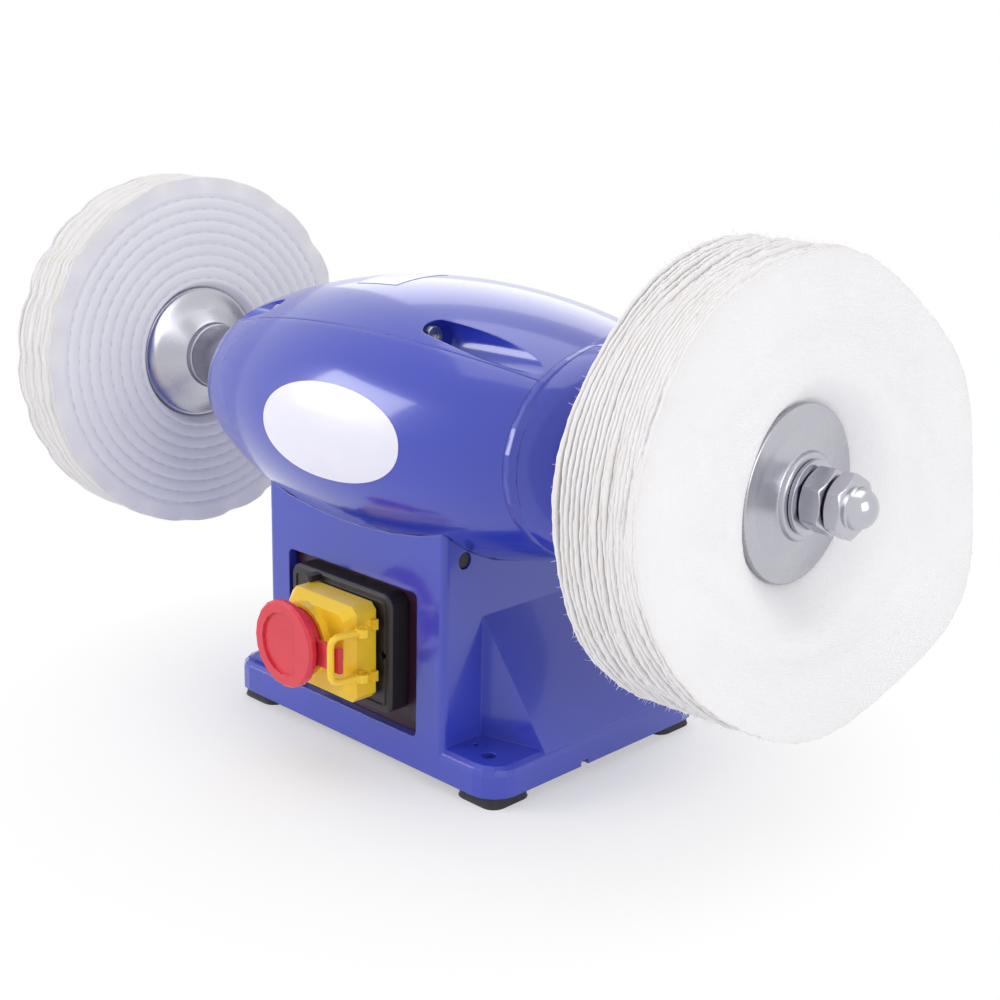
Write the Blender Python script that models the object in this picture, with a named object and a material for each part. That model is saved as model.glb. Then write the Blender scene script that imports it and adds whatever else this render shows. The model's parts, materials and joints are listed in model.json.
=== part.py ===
"""Bench buffer: an oval motor barrel on a cast pedestal, with a cotton buff at each end of its shaft.

Metres, +Z up, -Y to the front, +X to the right. The origin is on the underside of the
bottom plate, below the middle of the shaft.
"""

import math

import bmesh
import bpy
from mathutils import Matrix, Vector

# Clearance between pieces that touch, how far a cutter runs past what it cuts, the small
# bite by which joined shapes overlap, and the distance within which corners are one.
GAP = 0.0003
OVERRUN = 0.004
SLIVER = 0.0006
WELD = 0.000002

# Driving sizes of the stand.
BASE_HALF_LENGTH = 0.0958
BASE_FRONT = -0.0643
BASE_BACK = 0.0863
BASE_CORNER_RADIUS = 0.014
BASE_EDGE_RADIUS = 0.005
SLAB_HEIGHT = 0.0156
BLOCK_HALF_LENGTH = 0.0626
BLOCK_BACK = 0.0643
BLOCK_CORNER_RADIUS = 0.003
CASTING_WALL = 0.005

# The flared buttress on each side of the block: how high it starts, and how far its upright
# faces stand in from the slab's front and back at the block and at the toe.
FLARE_TOP = 0.0738
FLARE_BLOCK_INSET = 0.0245
FLARE_TOE_INSET = 0.0337
FLARE_EDGE = 0.0010

# The switch window in the front wall, the shaft's height above it, and the small holes of the casting.
WINDOW_LEFT = -0.047
WINDOW_RIGHT = 0.045
WINDOW_BOTTOM = 0.0155
WINDOW_TOP = 0.0855
WINDOW_CORNER_RADIUS = 0.003
SHAFT_ABOVE_WINDOW = 0.0667
SHAFT_HEIGHT = WINDOW_TOP + SHAFT_ABOVE_WINDOW
BLOCK_TOP_BELOW_SHAFT = 0.0172
BLOCK_TOP = SHAFT_HEIGHT - BLOCK_TOP_BELOW_SHAFT
BOLT_HOLE_RADIUS = 0.0035
BOLT_HOLE_END_INSET = 0.0148
BOLT_HOLE_INSET = 0.0115
PIN_HOLE_RADIUS = 0.0015
PIN_HOLE_DEPTH = 0.008
PIN_HOLE_END_INSET = 0.0270
PIN_HOLE_INSET = 0.0155
DRAIN_NOTCH_DEPTH = 0.003
DRAIN_NOTCH_FRONT = -0.006
DRAIN_NOTCH_BACK = -0.001
DRAIN_NOTCH_HEIGHT = 0.0026
PLUG_RADIUS = 0.004
PLUG_Y = -0.052
PLUG_DROP = 0.0055
PLUG_RECESS = 0.0008
PLUG_DEPTH = 0.0035

# Bottom plate, feet and their screws.
PLATE_THICKNESS = 0.0015
PLATE_INSET = 0.0025
FOOT_HALF_WIDTH = 0.0126
FOOT_FLARE = 0.0005
FOOT_CORNER_RADIUS = 0.006
FOOT_INSET = 0.0034
FOOT_DROP = 0.0057
FOOT_LIP = 0.0012
FOOT_RECESS_RADIUS = 0.0066
FOOT_RECESS_DEPTH = 0.0034
FOOT_SCREW_RADIUS = 0.0032
FOOT_SCREW_HEAD_RADIUS = 0.0058
FOOT_SCREW_HEAD_HEIGHT = 0.0022
FOOT_SCREW_TIP_BELOW_PAD = 0.004

# The oval barrel: half axes at its middle, and how it tapers along the shaft.
BARREL_HALF_DEPTH = 0.089
BARREL_HALF_HEIGHT = 0.065
BARREL_CREST_DROP = 0.0020
BARREL_CREST = BARREL_HALF_HEIGHT - BARREL_CREST_DROP
BARREL_RISE = 0.0015
BARREL_LEFT = -0.118
BARREL_RIGHT = 0.100
BARREL_WALL = 0.004
BARREL_STATIONS = 12
TAPER_REACH = 0.100
TAPER_SQUARE_SHARE = 0.221
TAPER_FOURTH_SHARE = 0.011
CREASE_ANGLE = math.radians(45)
CREST_STEPS = 12
BELLY_STEPS = 22

# The scooped pockets of the casing screws, in the upper shell just above the crease.
POCKET_RADIUS = 0.0065
POCKET_WALL = 0.002
POCKET_RIGHT_HEAD = 0.033
POCKET_RIGHT_REACH = 0.0658
POCKET_LEFT_HEAD = -0.079
POCKET_LEFT_REACH = 0.0570
POCKET_SEAT = 0.008
POCKET_STEPS = 12
CASING_SCREW_RADIUS = 0.0025
CASING_SCREW_HEAD_RADIUS = 0.0045
CASING_SCREW_HEAD_HEIGHT = 0.004
CASING_SCREW_GRIP = 0.006
CASING_SCREW_SOCKET_RADIUS = 0.0022
CASING_SCREW_SOCKET_DEPTH = 0.002

# End bells and bearings.
BELL_PLATE = 0.005
COLLAR_END = 0.118
COLLAR_RADIUS = 0.048
COLLAR_ROOT_RADIUS = 0.051
COLLAR_EDGE = 0.004
BEARING_RADIUS = 0.0235
BEARING_BORE = 0.010
BEARING_WIDTH = 0.014
BEARING_RING = 0.0045
BEARING_RUNNING_GAP = 0.0004
BEARING_LIP = 0.003
BEARING_LIP_RADIUS = 0.0195
HOUSING_WALL = 0.005
TURNED_STEPS = 20
INNER_STEPS = 16
SMALL_STEPS = 10

# Motor parts.
STATOR_LEFT = -0.034
STATOR_RIGHT = 0.022
STATOR_BORE_SHARE = 0.585
ROTOR_AIR_GAP = 0.0005
WINDING_LENGTH = 0.014
WINDING_INNER_SHARE = 0.629
WINDING_OUTER_SHARE = 0.839
WINDING_EDGE = 0.003

# Shaft and what is clamped on it.
JOURNAL_RADIUS = 0.010
STUD_RADIUS = 0.008
SHAFT_CHAMFER = 0.0015
SPACER_RADIUS = 0.0175
FLANGE_RADIUS = 0.037
FLANGE_HUB_RADIUS = 0.0185
FLANGE_RIM = 0.003
FLANGE_HUB_LENGTH = 0.004
FLANGE_CURVE_SHARE = 1.25
TALL_FLANGE_RISE = 0.0185
FLAT_FLANGE_RISE = 0.0076
FLANGE_DISH = 0.0025
FLANGE_WALL = 0.003
CONE_STEPS = 3
LEFT_INNER_FACE = -0.2113
LEFT_GRIP = 0.0197
LEFT_OUTER_FACE = LEFT_INNER_FACE - LEFT_GRIP
RIGHT_INNER_FACE = 0.1720
RIGHT_GRIP = 0.0235
RIGHT_OUTER_FACE = RIGHT_INNER_FACE + RIGHT_GRIP
WASHER_RADIUS = 0.0155
WASHER_THICKNESS = 0.002
NUT_FLATS = 0.024
NUT_THICKNESS = 0.0100
NUT_SPACE = 0.0012
ACORN_HEX = 0.0075
ACORN_DOME_RADIUS = 0.0085
ACORN_DOME_HEIGHT = 0.0085
ACORN_BORE_SHARE = 0.7
DOME_STEPS = 3

# The buffs. Loose and stitched plies are thin where the flanges clamp them.
BUFF_RADIUS = 0.100
BUFF_BORE = 0.0083
BUFF_STEPS = 24
STITCHED_INNER_SWELL = 0.0083
STITCHED_OUTER_SWELL = 0.0090
STITCHED_INNER_FACE = LEFT_INNER_FACE + STITCHED_INNER_SWELL
STITCHED_OUTER_FACE = LEFT_OUTER_FACE - STITCHED_OUTER_SWELL
STITCH_ROWS = 8
STITCH_DEPTH = 0.0013
STITCH_OUTER_INSET = 0.012
STITCHED_EDGE = 0.006
LOOSE_INNER_SWELL = 0.0170
LOOSE_OUTER_SWELL = 0.0130
LOOSE_INNER_FACE = RIGHT_INNER_FACE - LOOSE_INNER_SWELL
LOOSE_OUTER_FACE = RIGHT_OUTER_FACE + LOOSE_OUTER_SWELL
PLY_PACKS = 4
PLY_WAVES = 5
PLY_WAVE = 0.0016
PLY_RADIUS_WAVE = 0.0022
PLY_SPLIT = 0.0022
PLY_RINGS = 4
PLY_EDGE_SHARE = 0.35

# Switch: panel, housing, buttons.
PANEL_MARGIN = 0.0045
PANEL_THICKNESS = 0.002
HOUSING_LEFT = -0.038
HOUSING_RIGHT = 0.034
HOUSING_BOTTOM = 0.024
HOUSING_TOP = 0.082
HOUSING_PROUD = 0.0057
HOUSING_CORNER = 0.006
HOUSING_EDGE = 0.0012
HOUSING_BODY_INSET = 0.007
HOUSING_BODY_DEPTH = 0.030
BEAD_INSET = 0.0035
BEAD_WIDTH = 0.0009
BEAD_HEIGHT = 0.0006
BUTTON_WIDTH = 0.015
BUTTON_HEIGHT = 0.026
BUTTON_CORNER = 0.002
BUTTON_PROUD = 0.0042
BUTTON_DEPTH = 0.0085
BUTTON_TRAVEL = 0.003
BUTTON_CLEARANCE = 0.0004
START_BUTTON_X = 0.0145
LOCK_HOLE_RADIUS = 0.002
LOCK_HOLE_INSET = 0.0052

# Lid, its hinge and its bail bar.
LID_LEFT = -0.020
LID_RIGHT = 0.026
LID_BOTTOM = 0.0317
LID_TOP = 0.078
LID_STAND = 0.002
LID_DEPTH = 0.0165
LID_WALL = 0.002
LID_HINGE_WALL = 0.0046
LID_CHAMFER = 0.005
LID_OUTLINE_CHAMFER = 0.003
LID_HOLLOW_CHAMFER = 0.001
LID_COLLAR_HEIGHT = 0.004
LID_COLLAR_WALL = 0.002
HINGE_PIN_RADIUS = 0.0012
HINGE_INSET_X = 0.0022
HINGE_INSET_Y = 0.0025
LUG_HEIGHT = 0.0028
LUG_CLEARANCE = 0.0004
LUG_DEPTH = 0.005
ROD_RADIUS = 0.0017
BAIL_X = 0.0305
BAIL_Y = -0.084
BAIL_TOP = 0.0735
BAIL_BOTTOM = 0.0385
BAIL_CORNER = 0.0035
EAR_REACH = 0.0025
EAR_DEPTH = 0.0035
EAR_HEIGHT = 0.005
ROD_SIDES = 8
CORNER_STEPS = 4

# Hasp loop.
LOOP_X = 0.0275
LOOP_Y = -0.1000
LOOP_TOP = 0.0683
LOOP_BOTTOM = 0.0467
LOOP_CORNER = 0.005
EYE_RADIUS = 0.0036
EYE_HEIGHT = 0.0034
EYE_CLEARANCE = 0.0004

# Stop knob.
KNOB_X = -0.0033
KNOB_Z = 0.0576
KNOB_FRONT = -0.103
KNOB_RADIUS = 0.0208
KNOB_DISC = 0.0045
KNOB_EDGE = 0.0012
KNOB_DISH_RADIUS = 0.0150
KNOB_DISH_DEPTH = 0.0012
KNOB_DISH_CHORD = 0.0095
STEM_RADIUS = 0.015
STEM_CLEARANCE = 0.0005
GUIDE_RADIUS = 0.007
PUSH_ROD_RADIUS = 0.004
TONGUE_RIGHT = 0.031
TONGUE_HALF_HEIGHT = 0.0059
TONGUE_FRONT = -0.098
TONGUE_THICKNESS = 0.0022

# Run capacitor and cable gland.
CAPACITOR_RADIUS = 0.0165
CAPACITOR_LENGTH = 0.060
CAPACITOR_Y = 0.030
CAPACITOR_EDGE = 0.002
GLAND_X = 0.030
GLAND_HEIGHT = 0.045
GLAND_RADIUS = 0.0095
GLAND_HEX_FLATS = 0.022
GLAND_HEX_LENGTH = 0.006
GLAND_NOSE_RADIUS = 0.0085
GLAND_NOSE_LENGTH = 0.012
GLAND_BORE = 0.0035
GLAND_TAIL = 0.010

# Materials: colour, roughness, metallic.
PAINTED_BLUE = ("blue_paint", (0.060, 0.085, 0.420), 0.35, 0.0)
ZINC = ("zinc_plate", (0.60, 0.60, 0.63), 0.30, 1.0)
STEEL = ("steel", (0.50, 0.50, 0.52), 0.35, 1.0)
LAMINATION = ("lamination_steel", (0.22, 0.22, 0.24), 0.5, 1.0)
COPPER = ("enamelled_copper", (0.50, 0.20, 0.08), 0.4, 0.8)
RUBBER = ("black_rubber", (0.030, 0.030, 0.036), 0.85, 0.0)
BLACK_PLASTIC = ("black_plastic", (0.028, 0.024, 0.030), 0.45, 0.0)
DARK_PANEL = ("dark_panel", (0.070, 0.012, 0.040), 0.5, 0.0)
YELLOW_PLASTIC = ("yellow_plastic", (0.90, 0.45, 0.035), 0.4, 0.0)
RED_PLASTIC = ("red_plastic", (0.72, 0.045, 0.070), 0.4, 0.0)
GREEN_PLASTIC = ("green_plastic", (0.03, 0.35, 0.09), 0.4, 0.0)
COTTON = ("cotton", (0.86, 0.85, 0.84), 0.95, 0.0)
GREY_CASE = ("grey_case", (0.45, 0.45, 0.46), 0.5, 0.0)


def clear_scene():
    for old in list(bpy.data.objects):
        bpy.data.objects.remove(old)


def material(look):
    name, colour, roughness, metallic = look
    found = bpy.data.materials.get(name)
    if found:
        return found
    made = bpy.data.materials.new(name)
    made.use_nodes = True
    shader = made.node_tree.nodes["Principled BSDF"]
    shader.inputs["Base Color"].default_value = (*colour, 1.0)
    shader.inputs["Roughness"].default_value = roughness
    shader.inputs["Metallic"].default_value = metallic
    return made


def add(name, bm, look=None, smooth_angle=35):
    """An object of this bmesh, whose faces are turned out first."""
    bmesh.ops.remove_doubles(bm, verts=bm.verts, dist=GAP / 100)
    bmesh.ops.recalc_face_normals(bm, faces=bm.faces)
    mesh = bpy.data.meshes.new(name)
    bm.to_mesh(mesh)
    bm.free()
    made = bpy.data.objects.new(name, mesh)
    bpy.context.collection.objects.link(made)
    if look:
        finish(made, look, smooth_angle)
    return made


def finish(obj, look, smooth_angle=35):
    obj.data.materials.clear()
    obj.data.materials.append(material(look))
    obj.data.shade_smooth()
    obj.data.set_sharp_from_angle(angle=math.radians(smooth_angle))


def combine(target, tool, operation):
    """Boolean of target with tool, kept as the target's own mesh. The tool goes."""
    modifier = target.modifiers.new(operation, "BOOLEAN")
    modifier.operation = operation
    modifier.object = tool
    modifier.solver = "EXACT"
    graph = bpy.context.evaluated_depsgraph_get()
    done = bpy.data.meshes.new_from_object(target.evaluated_get(graph))
    target.modifiers.clear()
    bm = bmesh.new()
    bm.from_mesh(done)
    bmesh.ops.remove_doubles(bm, verts=bm.verts, dist=WELD)
    bmesh.ops.dissolve_degenerate(bm, edges=bm.edges, dist=WELD)
    bm.to_mesh(done)
    bm.free()
    target.data = done
    bpy.data.objects.remove(tool)
    return target


def cut(target, *tools):
    for tool in tools:
        combine(target, tool, "DIFFERENCE")
    return target


def unite(target, *tools):
    for tool in tools:
        combine(target, tool, "UNION")
    return target


def move_origin(obj, place):
    """Put the object's origin at place, with its shape left where it is."""
    obj.data.transform(Matrix.Translation(-Vector(place)))
    obj.location = place


# Shapes


def loft(name, rings, look=None, smooth_angle=35):
    """Closed body through rings of as many points each, with flat ends."""
    bm = bmesh.new()
    rows = [[bm.verts.new(point) for point in ring] for ring in rings]
    count = len(rows[0])
    for low, high in zip(rows, rows[1:]):
        for i in range(count):
            j = (i + 1) % count
            bm.faces.new((low[i], low[j], high[j], high[i]))
    bm.faces.new(rows[0])
    bm.faces.new(rows[-1])
    return add(name, bm, look, smooth_angle)


def turned(name, profile, look=None, steps=TURNED_STEPS, centre=(0, 0, SHAFT_HEIGHT), along="X",
           smooth_angle=35):
    """Closed profile of (distance along the axis, radius), turned about an axis through centre."""
    bm = bmesh.new()
    place = Vector(centre)
    rows = []
    for distance, radius in profile:
        if radius == 0:
            rows.append([bm.verts.new(place + on_axis(along, distance, 0, 0))] * steps)
            continue
        row = []
        for k in range(steps):
            turn = 2 * math.pi * k / steps
            point = on_axis(along, distance, radius * math.cos(turn), radius * math.sin(turn))
            row.append(bm.verts.new(place + point))
        rows.append(row)
    for here, after in zip(rows, rows[1:] + rows[:1]):
        for k in range(steps):
            n = (k + 1) % steps
            corners = list(dict.fromkeys((here[k], here[n], after[n], after[k])))
            if len(corners) > 2:
                bm.faces.new(corners)
    return add(name, bm, look, smooth_angle)


def on_axis(along, distance, first, second):
    if along == "X":
        return Vector((distance, first, second))
    if along == "Y":
        return Vector((second, distance, first))
    return Vector((first, second, distance))


def prism(name, outline, along, start, end, look=None, smooth_angle=35):
    """Outline of (first, second) points, extruded along an axis."""
    rings = [[on_axis(along, at, first, second) for first, second in outline] for at in (start, end)]
    return loft(name, rings, look, smooth_angle)


def box(name, low, high):
    outline = [(low[1], low[2]), (high[1], low[2]), (high[1], high[2]), (low[1], high[2])]
    return prism(name, outline, "X", low[0], high[0])


def rod(name, centre, radius, along, start, end, steps=SMALL_STEPS):
    return turned(name, [(start, 0), (start, radius), (end, radius), (end, 0)], None, steps, centre, along)


def rounded_outline(left, right, low, high, radius, steps=CORNER_STEPS):
    """Rectangle with round corners, as points from its lower right corner on."""
    points = []
    corners = ((right - radius, low + radius, -90), (right - radius, high - radius, 0),
               (left + radius, high - radius, 90), (left + radius, low + radius, 180))
    for across, up, first_turn in corners:
        for k in range(steps + 1):
            turn = math.radians(first_turn + 90 * k / steps)
            points.append((across + radius * math.cos(turn), up + radius * math.sin(turn)))
    return points


def edged_prism(name, left, right, low, high, corner, along, start, end, edge, edge_at_start=False,
                look=None, steps=3):
    """Rounded rectangle along an axis, with a quarter round along the edge of its end face."""
    levels = []
    for k in range(steps + 1):
        turn = math.pi / 2 * k / steps
        levels.append((end - math.copysign(edge * (1 - math.sin(turn)), end - start),
                       edge * (1 - math.cos(turn))))
    stations = [(start, 0)] + levels
    if edge_at_start:
        opening = [(start + (end - at), inset) for at, inset in reversed(levels)]
        stations = opening + levels
    rings = []
    for at, inset in stations:
        outline = rounded_outline(left + inset, right - inset, low + inset, high - inset, corner - inset)
        rings.append([on_axis(along, at, first, second) for first, second in outline])
    return loft(name, rings, look)


def rounded_path(corners, radius, steps=CORNER_STEPS):
    """The corners joined by straight runs, with each inner corner rounded."""
    points = [Vector(corners[0])]
    for before, corner, after in zip(corners, corners[1:], corners[2:]):
        corner = Vector(corner)
        to_before = (Vector(before) - corner).normalized()
        to_after = (Vector(after) - corner).normalized()
        for k in range(steps + 1):
            share = k / steps
            start = corner + to_before * radius * (1 - share) ** 2
            points.append(start + to_after * radius * share ** 2)
    points.append(Vector(corners[-1]))
    return points


def swept_rod(name, path, radius, sides=ROD_SIDES):
    """A round rod along a path."""
    rings = []
    reference = Vector((1, 0, 0))
    for k, point in enumerate(path):
        ahead = path[min(k + 1, len(path) - 1)] - path[max(k - 1, 0)]
        ahead.normalize()
        across = (reference - ahead * reference.dot(ahead)).normalized()
        reference = across
        up = ahead.cross(across)
        rings.append([point + across * radius * math.cos(2 * math.pi * s / sides)
                      + up * radius * math.sin(2 * math.pi * s / sides) for s in range(sides)])
    return loft(name, rings)


# The barrel's shape


def taper(x):
    reach = abs(x) / TAPER_REACH
    return 1 - TAPER_SQUARE_SHARE * reach ** 2 - TAPER_FOURTH_SHARE * reach ** 4


def crease_place():
    """Where the crease lies in the middle section, measured from the barrel's centre line."""
    return BARREL_HALF_DEPTH * math.cos(CREASE_ANGLE), BARREL_HALF_HEIGHT * math.sin(CREASE_ANGLE)


def crest_circle():
    """Centre height and radius of the flatter arc over the top, through crest and crease."""
    across, up = crease_place()
    low = (BARREL_CREST ** 2 - across ** 2 - up ** 2) / (2 * (BARREL_CREST - up))
    return low, BARREL_CREST - low


def crest_arc(steps=CREST_STEPS):
    """Middle section over the top, from the back crease to the front one."""
    across, up = crease_place()
    low, radius = crest_circle()
    half = math.atan2(across, up - low)
    turns = [half * (1 - 2 * k / steps) for k in range(steps + 1)]
    return [(radius * math.sin(turn), low + radius * math.cos(turn)) for turn in turns]


def belly_arc(steps=BELLY_STEPS):
    """Middle section below the creases, from the front one round to the back one."""
    sweep = math.pi + 2 * CREASE_ANGLE
    turns = [math.pi - CREASE_ANGLE + sweep * k / steps for k in range(steps + 1)]
    return [(BARREL_HALF_DEPTH * math.cos(turn), BARREL_HALF_HEIGHT * math.sin(turn)) for turn in turns]


def barrel_ring(points, x, grow=0.0):
    """A middle section's points at the station x, moved out by grow."""
    share = taper(x)
    ring = []
    for y, z in points:
        out = Vector((y / BARREL_HALF_DEPTH ** 2, z / BARREL_HALF_HEIGHT ** 2)).normalized()
        height = SHAFT_HEIGHT + BARREL_RISE + z * share + out.y * grow
        ring.append(Vector((x, y * share + out.x * grow, height)))
    return ring


def barrel_stations(left=BARREL_LEFT, right=BARREL_RIGHT, count=BARREL_STATIONS):
    return [left + (right - left) * k / count for k in range(count + 1)]


def barrel_solid(name, grow, left=BARREL_LEFT, right=BARREL_RIGHT):
    section = crest_arc()[:-1] + belly_arc()[:-1]
    return loft(name, [barrel_ring(section, x, grow) for x in barrel_stations(left, right)])


def shell(name, arc, slide):
    """Part of the barrel's wall over one arc of its section, drawn in from the crease by slide."""
    rings = []
    for x in barrel_stations():
        outer = barrel_ring(arc, x)
        inner = barrel_ring(arc, x, -BARREL_WALL)
        outer[0] = outer[0] + slide
        inner[0] = inner[0] + slide
        mirrored = Vector((0, -slide.y, slide.z))
        outer[-1] = outer[-1] + mirrored
        inner[-1] = inner[-1] + mirrored
        rings.append(outer + inner[::-1])
    return loft(name, rings)


def pocket_places():
    """Head place, end of the scoop and centre of each casing screw's pocket."""
    across, up = crease_place()
    crease = math.atan2(up, across)
    places = {}
    for side, head, reach in (("right", POCKET_RIGHT_HEAD, POCKET_RIGHT_REACH),
                              ("left", POCKET_LEFT_HEAD, POCKET_LEFT_REACH)):
        turn = crease + math.asin((POCKET_RADIUS + POCKET_WALL) / reach)
        for face, sign in (("front", -1), ("rear", 1)):
            centre = (0, sign * reach * math.cos(turn), SHAFT_HEIGHT + BARREL_RISE + reach * math.sin(turn))
            places[f"{face}_{side}"] = (head, centre, 1 if head > 0 else -1)
    return places


# Fixed pieces


def make_shells():
    across, up = crease_place()
    seam = Vector((0, up, across)).normalized() * GAP
    upper = shell("upper_shell", crest_arc(), Vector((0, -seam.y, seam.z)))
    lower = shell("lower_shell", belly_arc(), Vector((0, 0, 0)))
    boss_radius = POCKET_RADIUS + POCKET_WALL - GAP
    for head, centre, way in pocket_places().values():
        end = BARREL_RIGHT if way > 0 else BARREL_LEFT
        boss = rod("boss", centre, boss_radius, "X", head - way * POCKET_SEAT, end - way * SLIVER,
                   POCKET_STEPS)
        combine(boss, barrel_solid("trim", -BARREL_WALL / 2), "INTERSECT")
        unite(upper, boss)
    for head, centre, way in pocket_places().values():
        end = BARREL_RIGHT if way > 0 else BARREL_LEFT
        bore = rod("bore", centre, POCKET_RADIUS, "X", head, end + way * OVERRUN, POCKET_STEPS)
        hole = rod("hole", centre, CASING_SCREW_RADIUS + GAP, "X", head + way * OVERRUN,
                   head - way * (CASING_SCREW_GRIP + GAP), SMALL_STEPS)
        cut(upper, bore, hole)
    finish(upper, PAINTED_BLUE)
    finish(lower, PAINTED_BLUE)


def make_casing_screws():
    for key, (head, centre, way) in pocket_places().items():
        seat = head + way * GAP
        top = seat + way * CASING_SCREW_HEAD_HEIGHT
        floor = top - way * CASING_SCREW_SOCKET_DEPTH
        profile = [(seat - way * CASING_SCREW_GRIP, 0),
                   (seat - way * CASING_SCREW_GRIP, CASING_SCREW_RADIUS),
                   (seat, CASING_SCREW_RADIUS),
                   (seat, CASING_SCREW_HEAD_RADIUS),
                   (top, CASING_SCREW_HEAD_RADIUS),
                   (top, CASING_SCREW_SOCKET_RADIUS),
                   (floor, CASING_SCREW_SOCKET_RADIUS),
                   (floor, 0)]
        turned(f"casing_screw_{key}", profile, STEEL, SMALL_STEPS, centre)


def flare(way):
    """A buttress that slopes from the block's side to the slab's end and narrows on its way."""
    toe = BASE_HALF_LENGTH - FLARE_EDGE
    narrowing = (FLARE_TOE_INSET - FLARE_BLOCK_INSET) / (toe - BLOCK_HALF_LENGTH)
    root = BLOCK_HALF_LENGTH - CASTING_WALL / 2
    rings = []
    for height, reach in ((CASTING_WALL, toe), (SLAB_HEIGHT - SLIVER, toe), (FLARE_TOP, BLOCK_HALF_LENGTH)):
        ring = []
        for x, end in ((root, BASE_FRONT), (reach, BASE_FRONT), (reach, BASE_BACK), (root, BASE_BACK)):
            inset = FLARE_BLOCK_INSET + (x - BLOCK_HALF_LENGTH) * narrowing
            ring.append(Vector((way * x, end + inset if end < 0 else end - inset, height)))
        rings.append(ring)
    return loft("flare", rings)


def make_pedestal():
    pedestal = edged_prism("pedestal", -BASE_HALF_LENGTH, BASE_HALF_LENGTH, BASE_FRONT, BASE_BACK,
                           BASE_CORNER_RADIUS, "Z", 0, SLAB_HEIGHT, BASE_EDGE_RADIUS)
    block = prism("block", rounded_outline(-BLOCK_HALF_LENGTH, BLOCK_HALF_LENGTH, BASE_FRONT, BLOCK_BACK,
                                           BLOCK_CORNER_RADIUS), "Z", SLIVER, BLOCK_TOP)
    unite(pedestal, block)
    for way in (-1, 1):
        unite(pedestal, flare(way))
    inner = BLOCK_HALF_LENGTH - CASTING_WALL
    cut(pedestal, box("hollow", (-inner, BASE_FRONT + CASTING_WALL, -OVERRUN),
                      (inner, BLOCK_BACK - CASTING_WALL, BLOCK_TOP + OVERRUN)))
    rebate = PLATE_INSET - GAP
    cut(pedestal, prism("rebate", rounded_outline(-BASE_HALF_LENGTH + rebate, BASE_HALF_LENGTH - rebate,
                                                  BASE_FRONT + rebate, BASE_BACK - rebate,
                                                  BASE_CORNER_RADIUS - rebate),
                        "Z", -OVERRUN, PLATE_THICKNESS + GAP))
    window = rounded_outline(WINDOW_BOTTOM, WINDOW_TOP, WINDOW_LEFT, WINDOW_RIGHT, WINDOW_CORNER_RADIUS)
    cut(pedestal, prism("window", window, "Y", BASE_FRONT - OVERRUN, BASE_FRONT + CASTING_WALL + OVERRUN))
    cut(pedestal, barrel_solid("saddle", GAP, BARREL_LEFT, BARREL_RIGHT))
    for x, y in foot_places():
        cut(pedestal, rod("bolt_hole", (x, y, 0), BOLT_HOLE_RADIUS, "Z", -OVERRUN, SLAB_HEIGHT + OVERRUN))
    for x, y in pin_hole_places():
        cut(pedestal, rod("pin_hole", (x, y, 0), PIN_HOLE_RADIUS, "Z", SLAB_HEIGHT - PIN_HOLE_DEPTH,
                          SLAB_HEIGHT + OVERRUN, CORNER_STEPS * 2))
    for way in (-1, 1):
        side = way * BLOCK_HALF_LENGTH
        cut(pedestal, rod("plug_hole", (0, PLUG_Y, plug_height()), PLUG_RADIUS, "X",
                          side - way * (CASTING_WALL + OVERRUN), side + way * OVERRUN, POCKET_STEPS))
        edge = way * BASE_HALF_LENGTH
        inside = edge - way * DRAIN_NOTCH_DEPTH
        cut(pedestal, box("notch", (min(inside, edge + way * OVERRUN), DRAIN_NOTCH_FRONT, -OVERRUN),
                          (max(inside, edge + way * OVERRUN), DRAIN_NOTCH_BACK, DRAIN_NOTCH_HEIGHT)))
    cut(pedestal, rod("gland_hole", (GLAND_X, 0, GLAND_HEIGHT), GLAND_RADIUS + GAP, "Y",
                      BLOCK_BACK - CASTING_WALL - OVERRUN, BLOCK_BACK + OVERRUN, POCKET_STEPS))
    finish(pedestal, PAINTED_BLUE)


def corner_places(end_inset, inset):
    x = BASE_HALF_LENGTH - end_inset
    return [(side * x, y) for side in (-1, 1) for y in (BASE_FRONT + inset, BASE_BACK - inset)]


def foot_places():
    return corner_places(BOLT_HOLE_END_INSET, BOLT_HOLE_INSET)


def pin_hole_places():
    return corner_places(PIN_HOLE_END_INSET, PIN_HOLE_INSET)


def plug_height():
    """The side plug sits a little below the barrel's belly, where the block's side meets it."""
    share = taper(BLOCK_HALF_LENGTH)
    across = PLUG_Y / (BARREL_HALF_DEPTH * share)
    belly = SHAFT_HEIGHT + BARREL_RISE - BARREL_HALF_HEIGHT * share * math.sqrt(1 - across ** 2)
    return belly - PLUG_DROP


def corner_name(x, y):
    return ("front" if y < 0 else "rear") + ("_left" if x < 0 else "_right")


def make_plugs():
    for side, way in (("left", -1), ("right", 1)):
        outside = way * (BLOCK_HALF_LENGTH - PLUG_RECESS)
        profile = [(outside - way * PLUG_DEPTH, 0), (outside - way * PLUG_DEPTH, PLUG_RADIUS - GAP),
                   (outside, PLUG_RADIUS - GAP), (outside, 0)]
        turned(f"side_plug_{side}", profile, BLACK_PLASTIC, POCKET_STEPS, (0, PLUG_Y, plug_height()))


def make_bottom_plate():
    plate = prism("bottom_plate", rounded_outline(-BASE_HALF_LENGTH + PLATE_INSET,
                                                  BASE_HALF_LENGTH - PLATE_INSET,
                                                  BASE_FRONT + PLATE_INSET, BASE_BACK - PLATE_INSET,
                                                  BASE_CORNER_RADIUS - PLATE_INSET),
                  "Z", 0, PLATE_THICKNESS)
    for x, y in foot_places():
        cut(plate, rod("hole", (x, y, 0), BOLT_HOLE_RADIUS, "Z", -OVERRUN, OVERRUN))
    finish(plate, ZINC)


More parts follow.
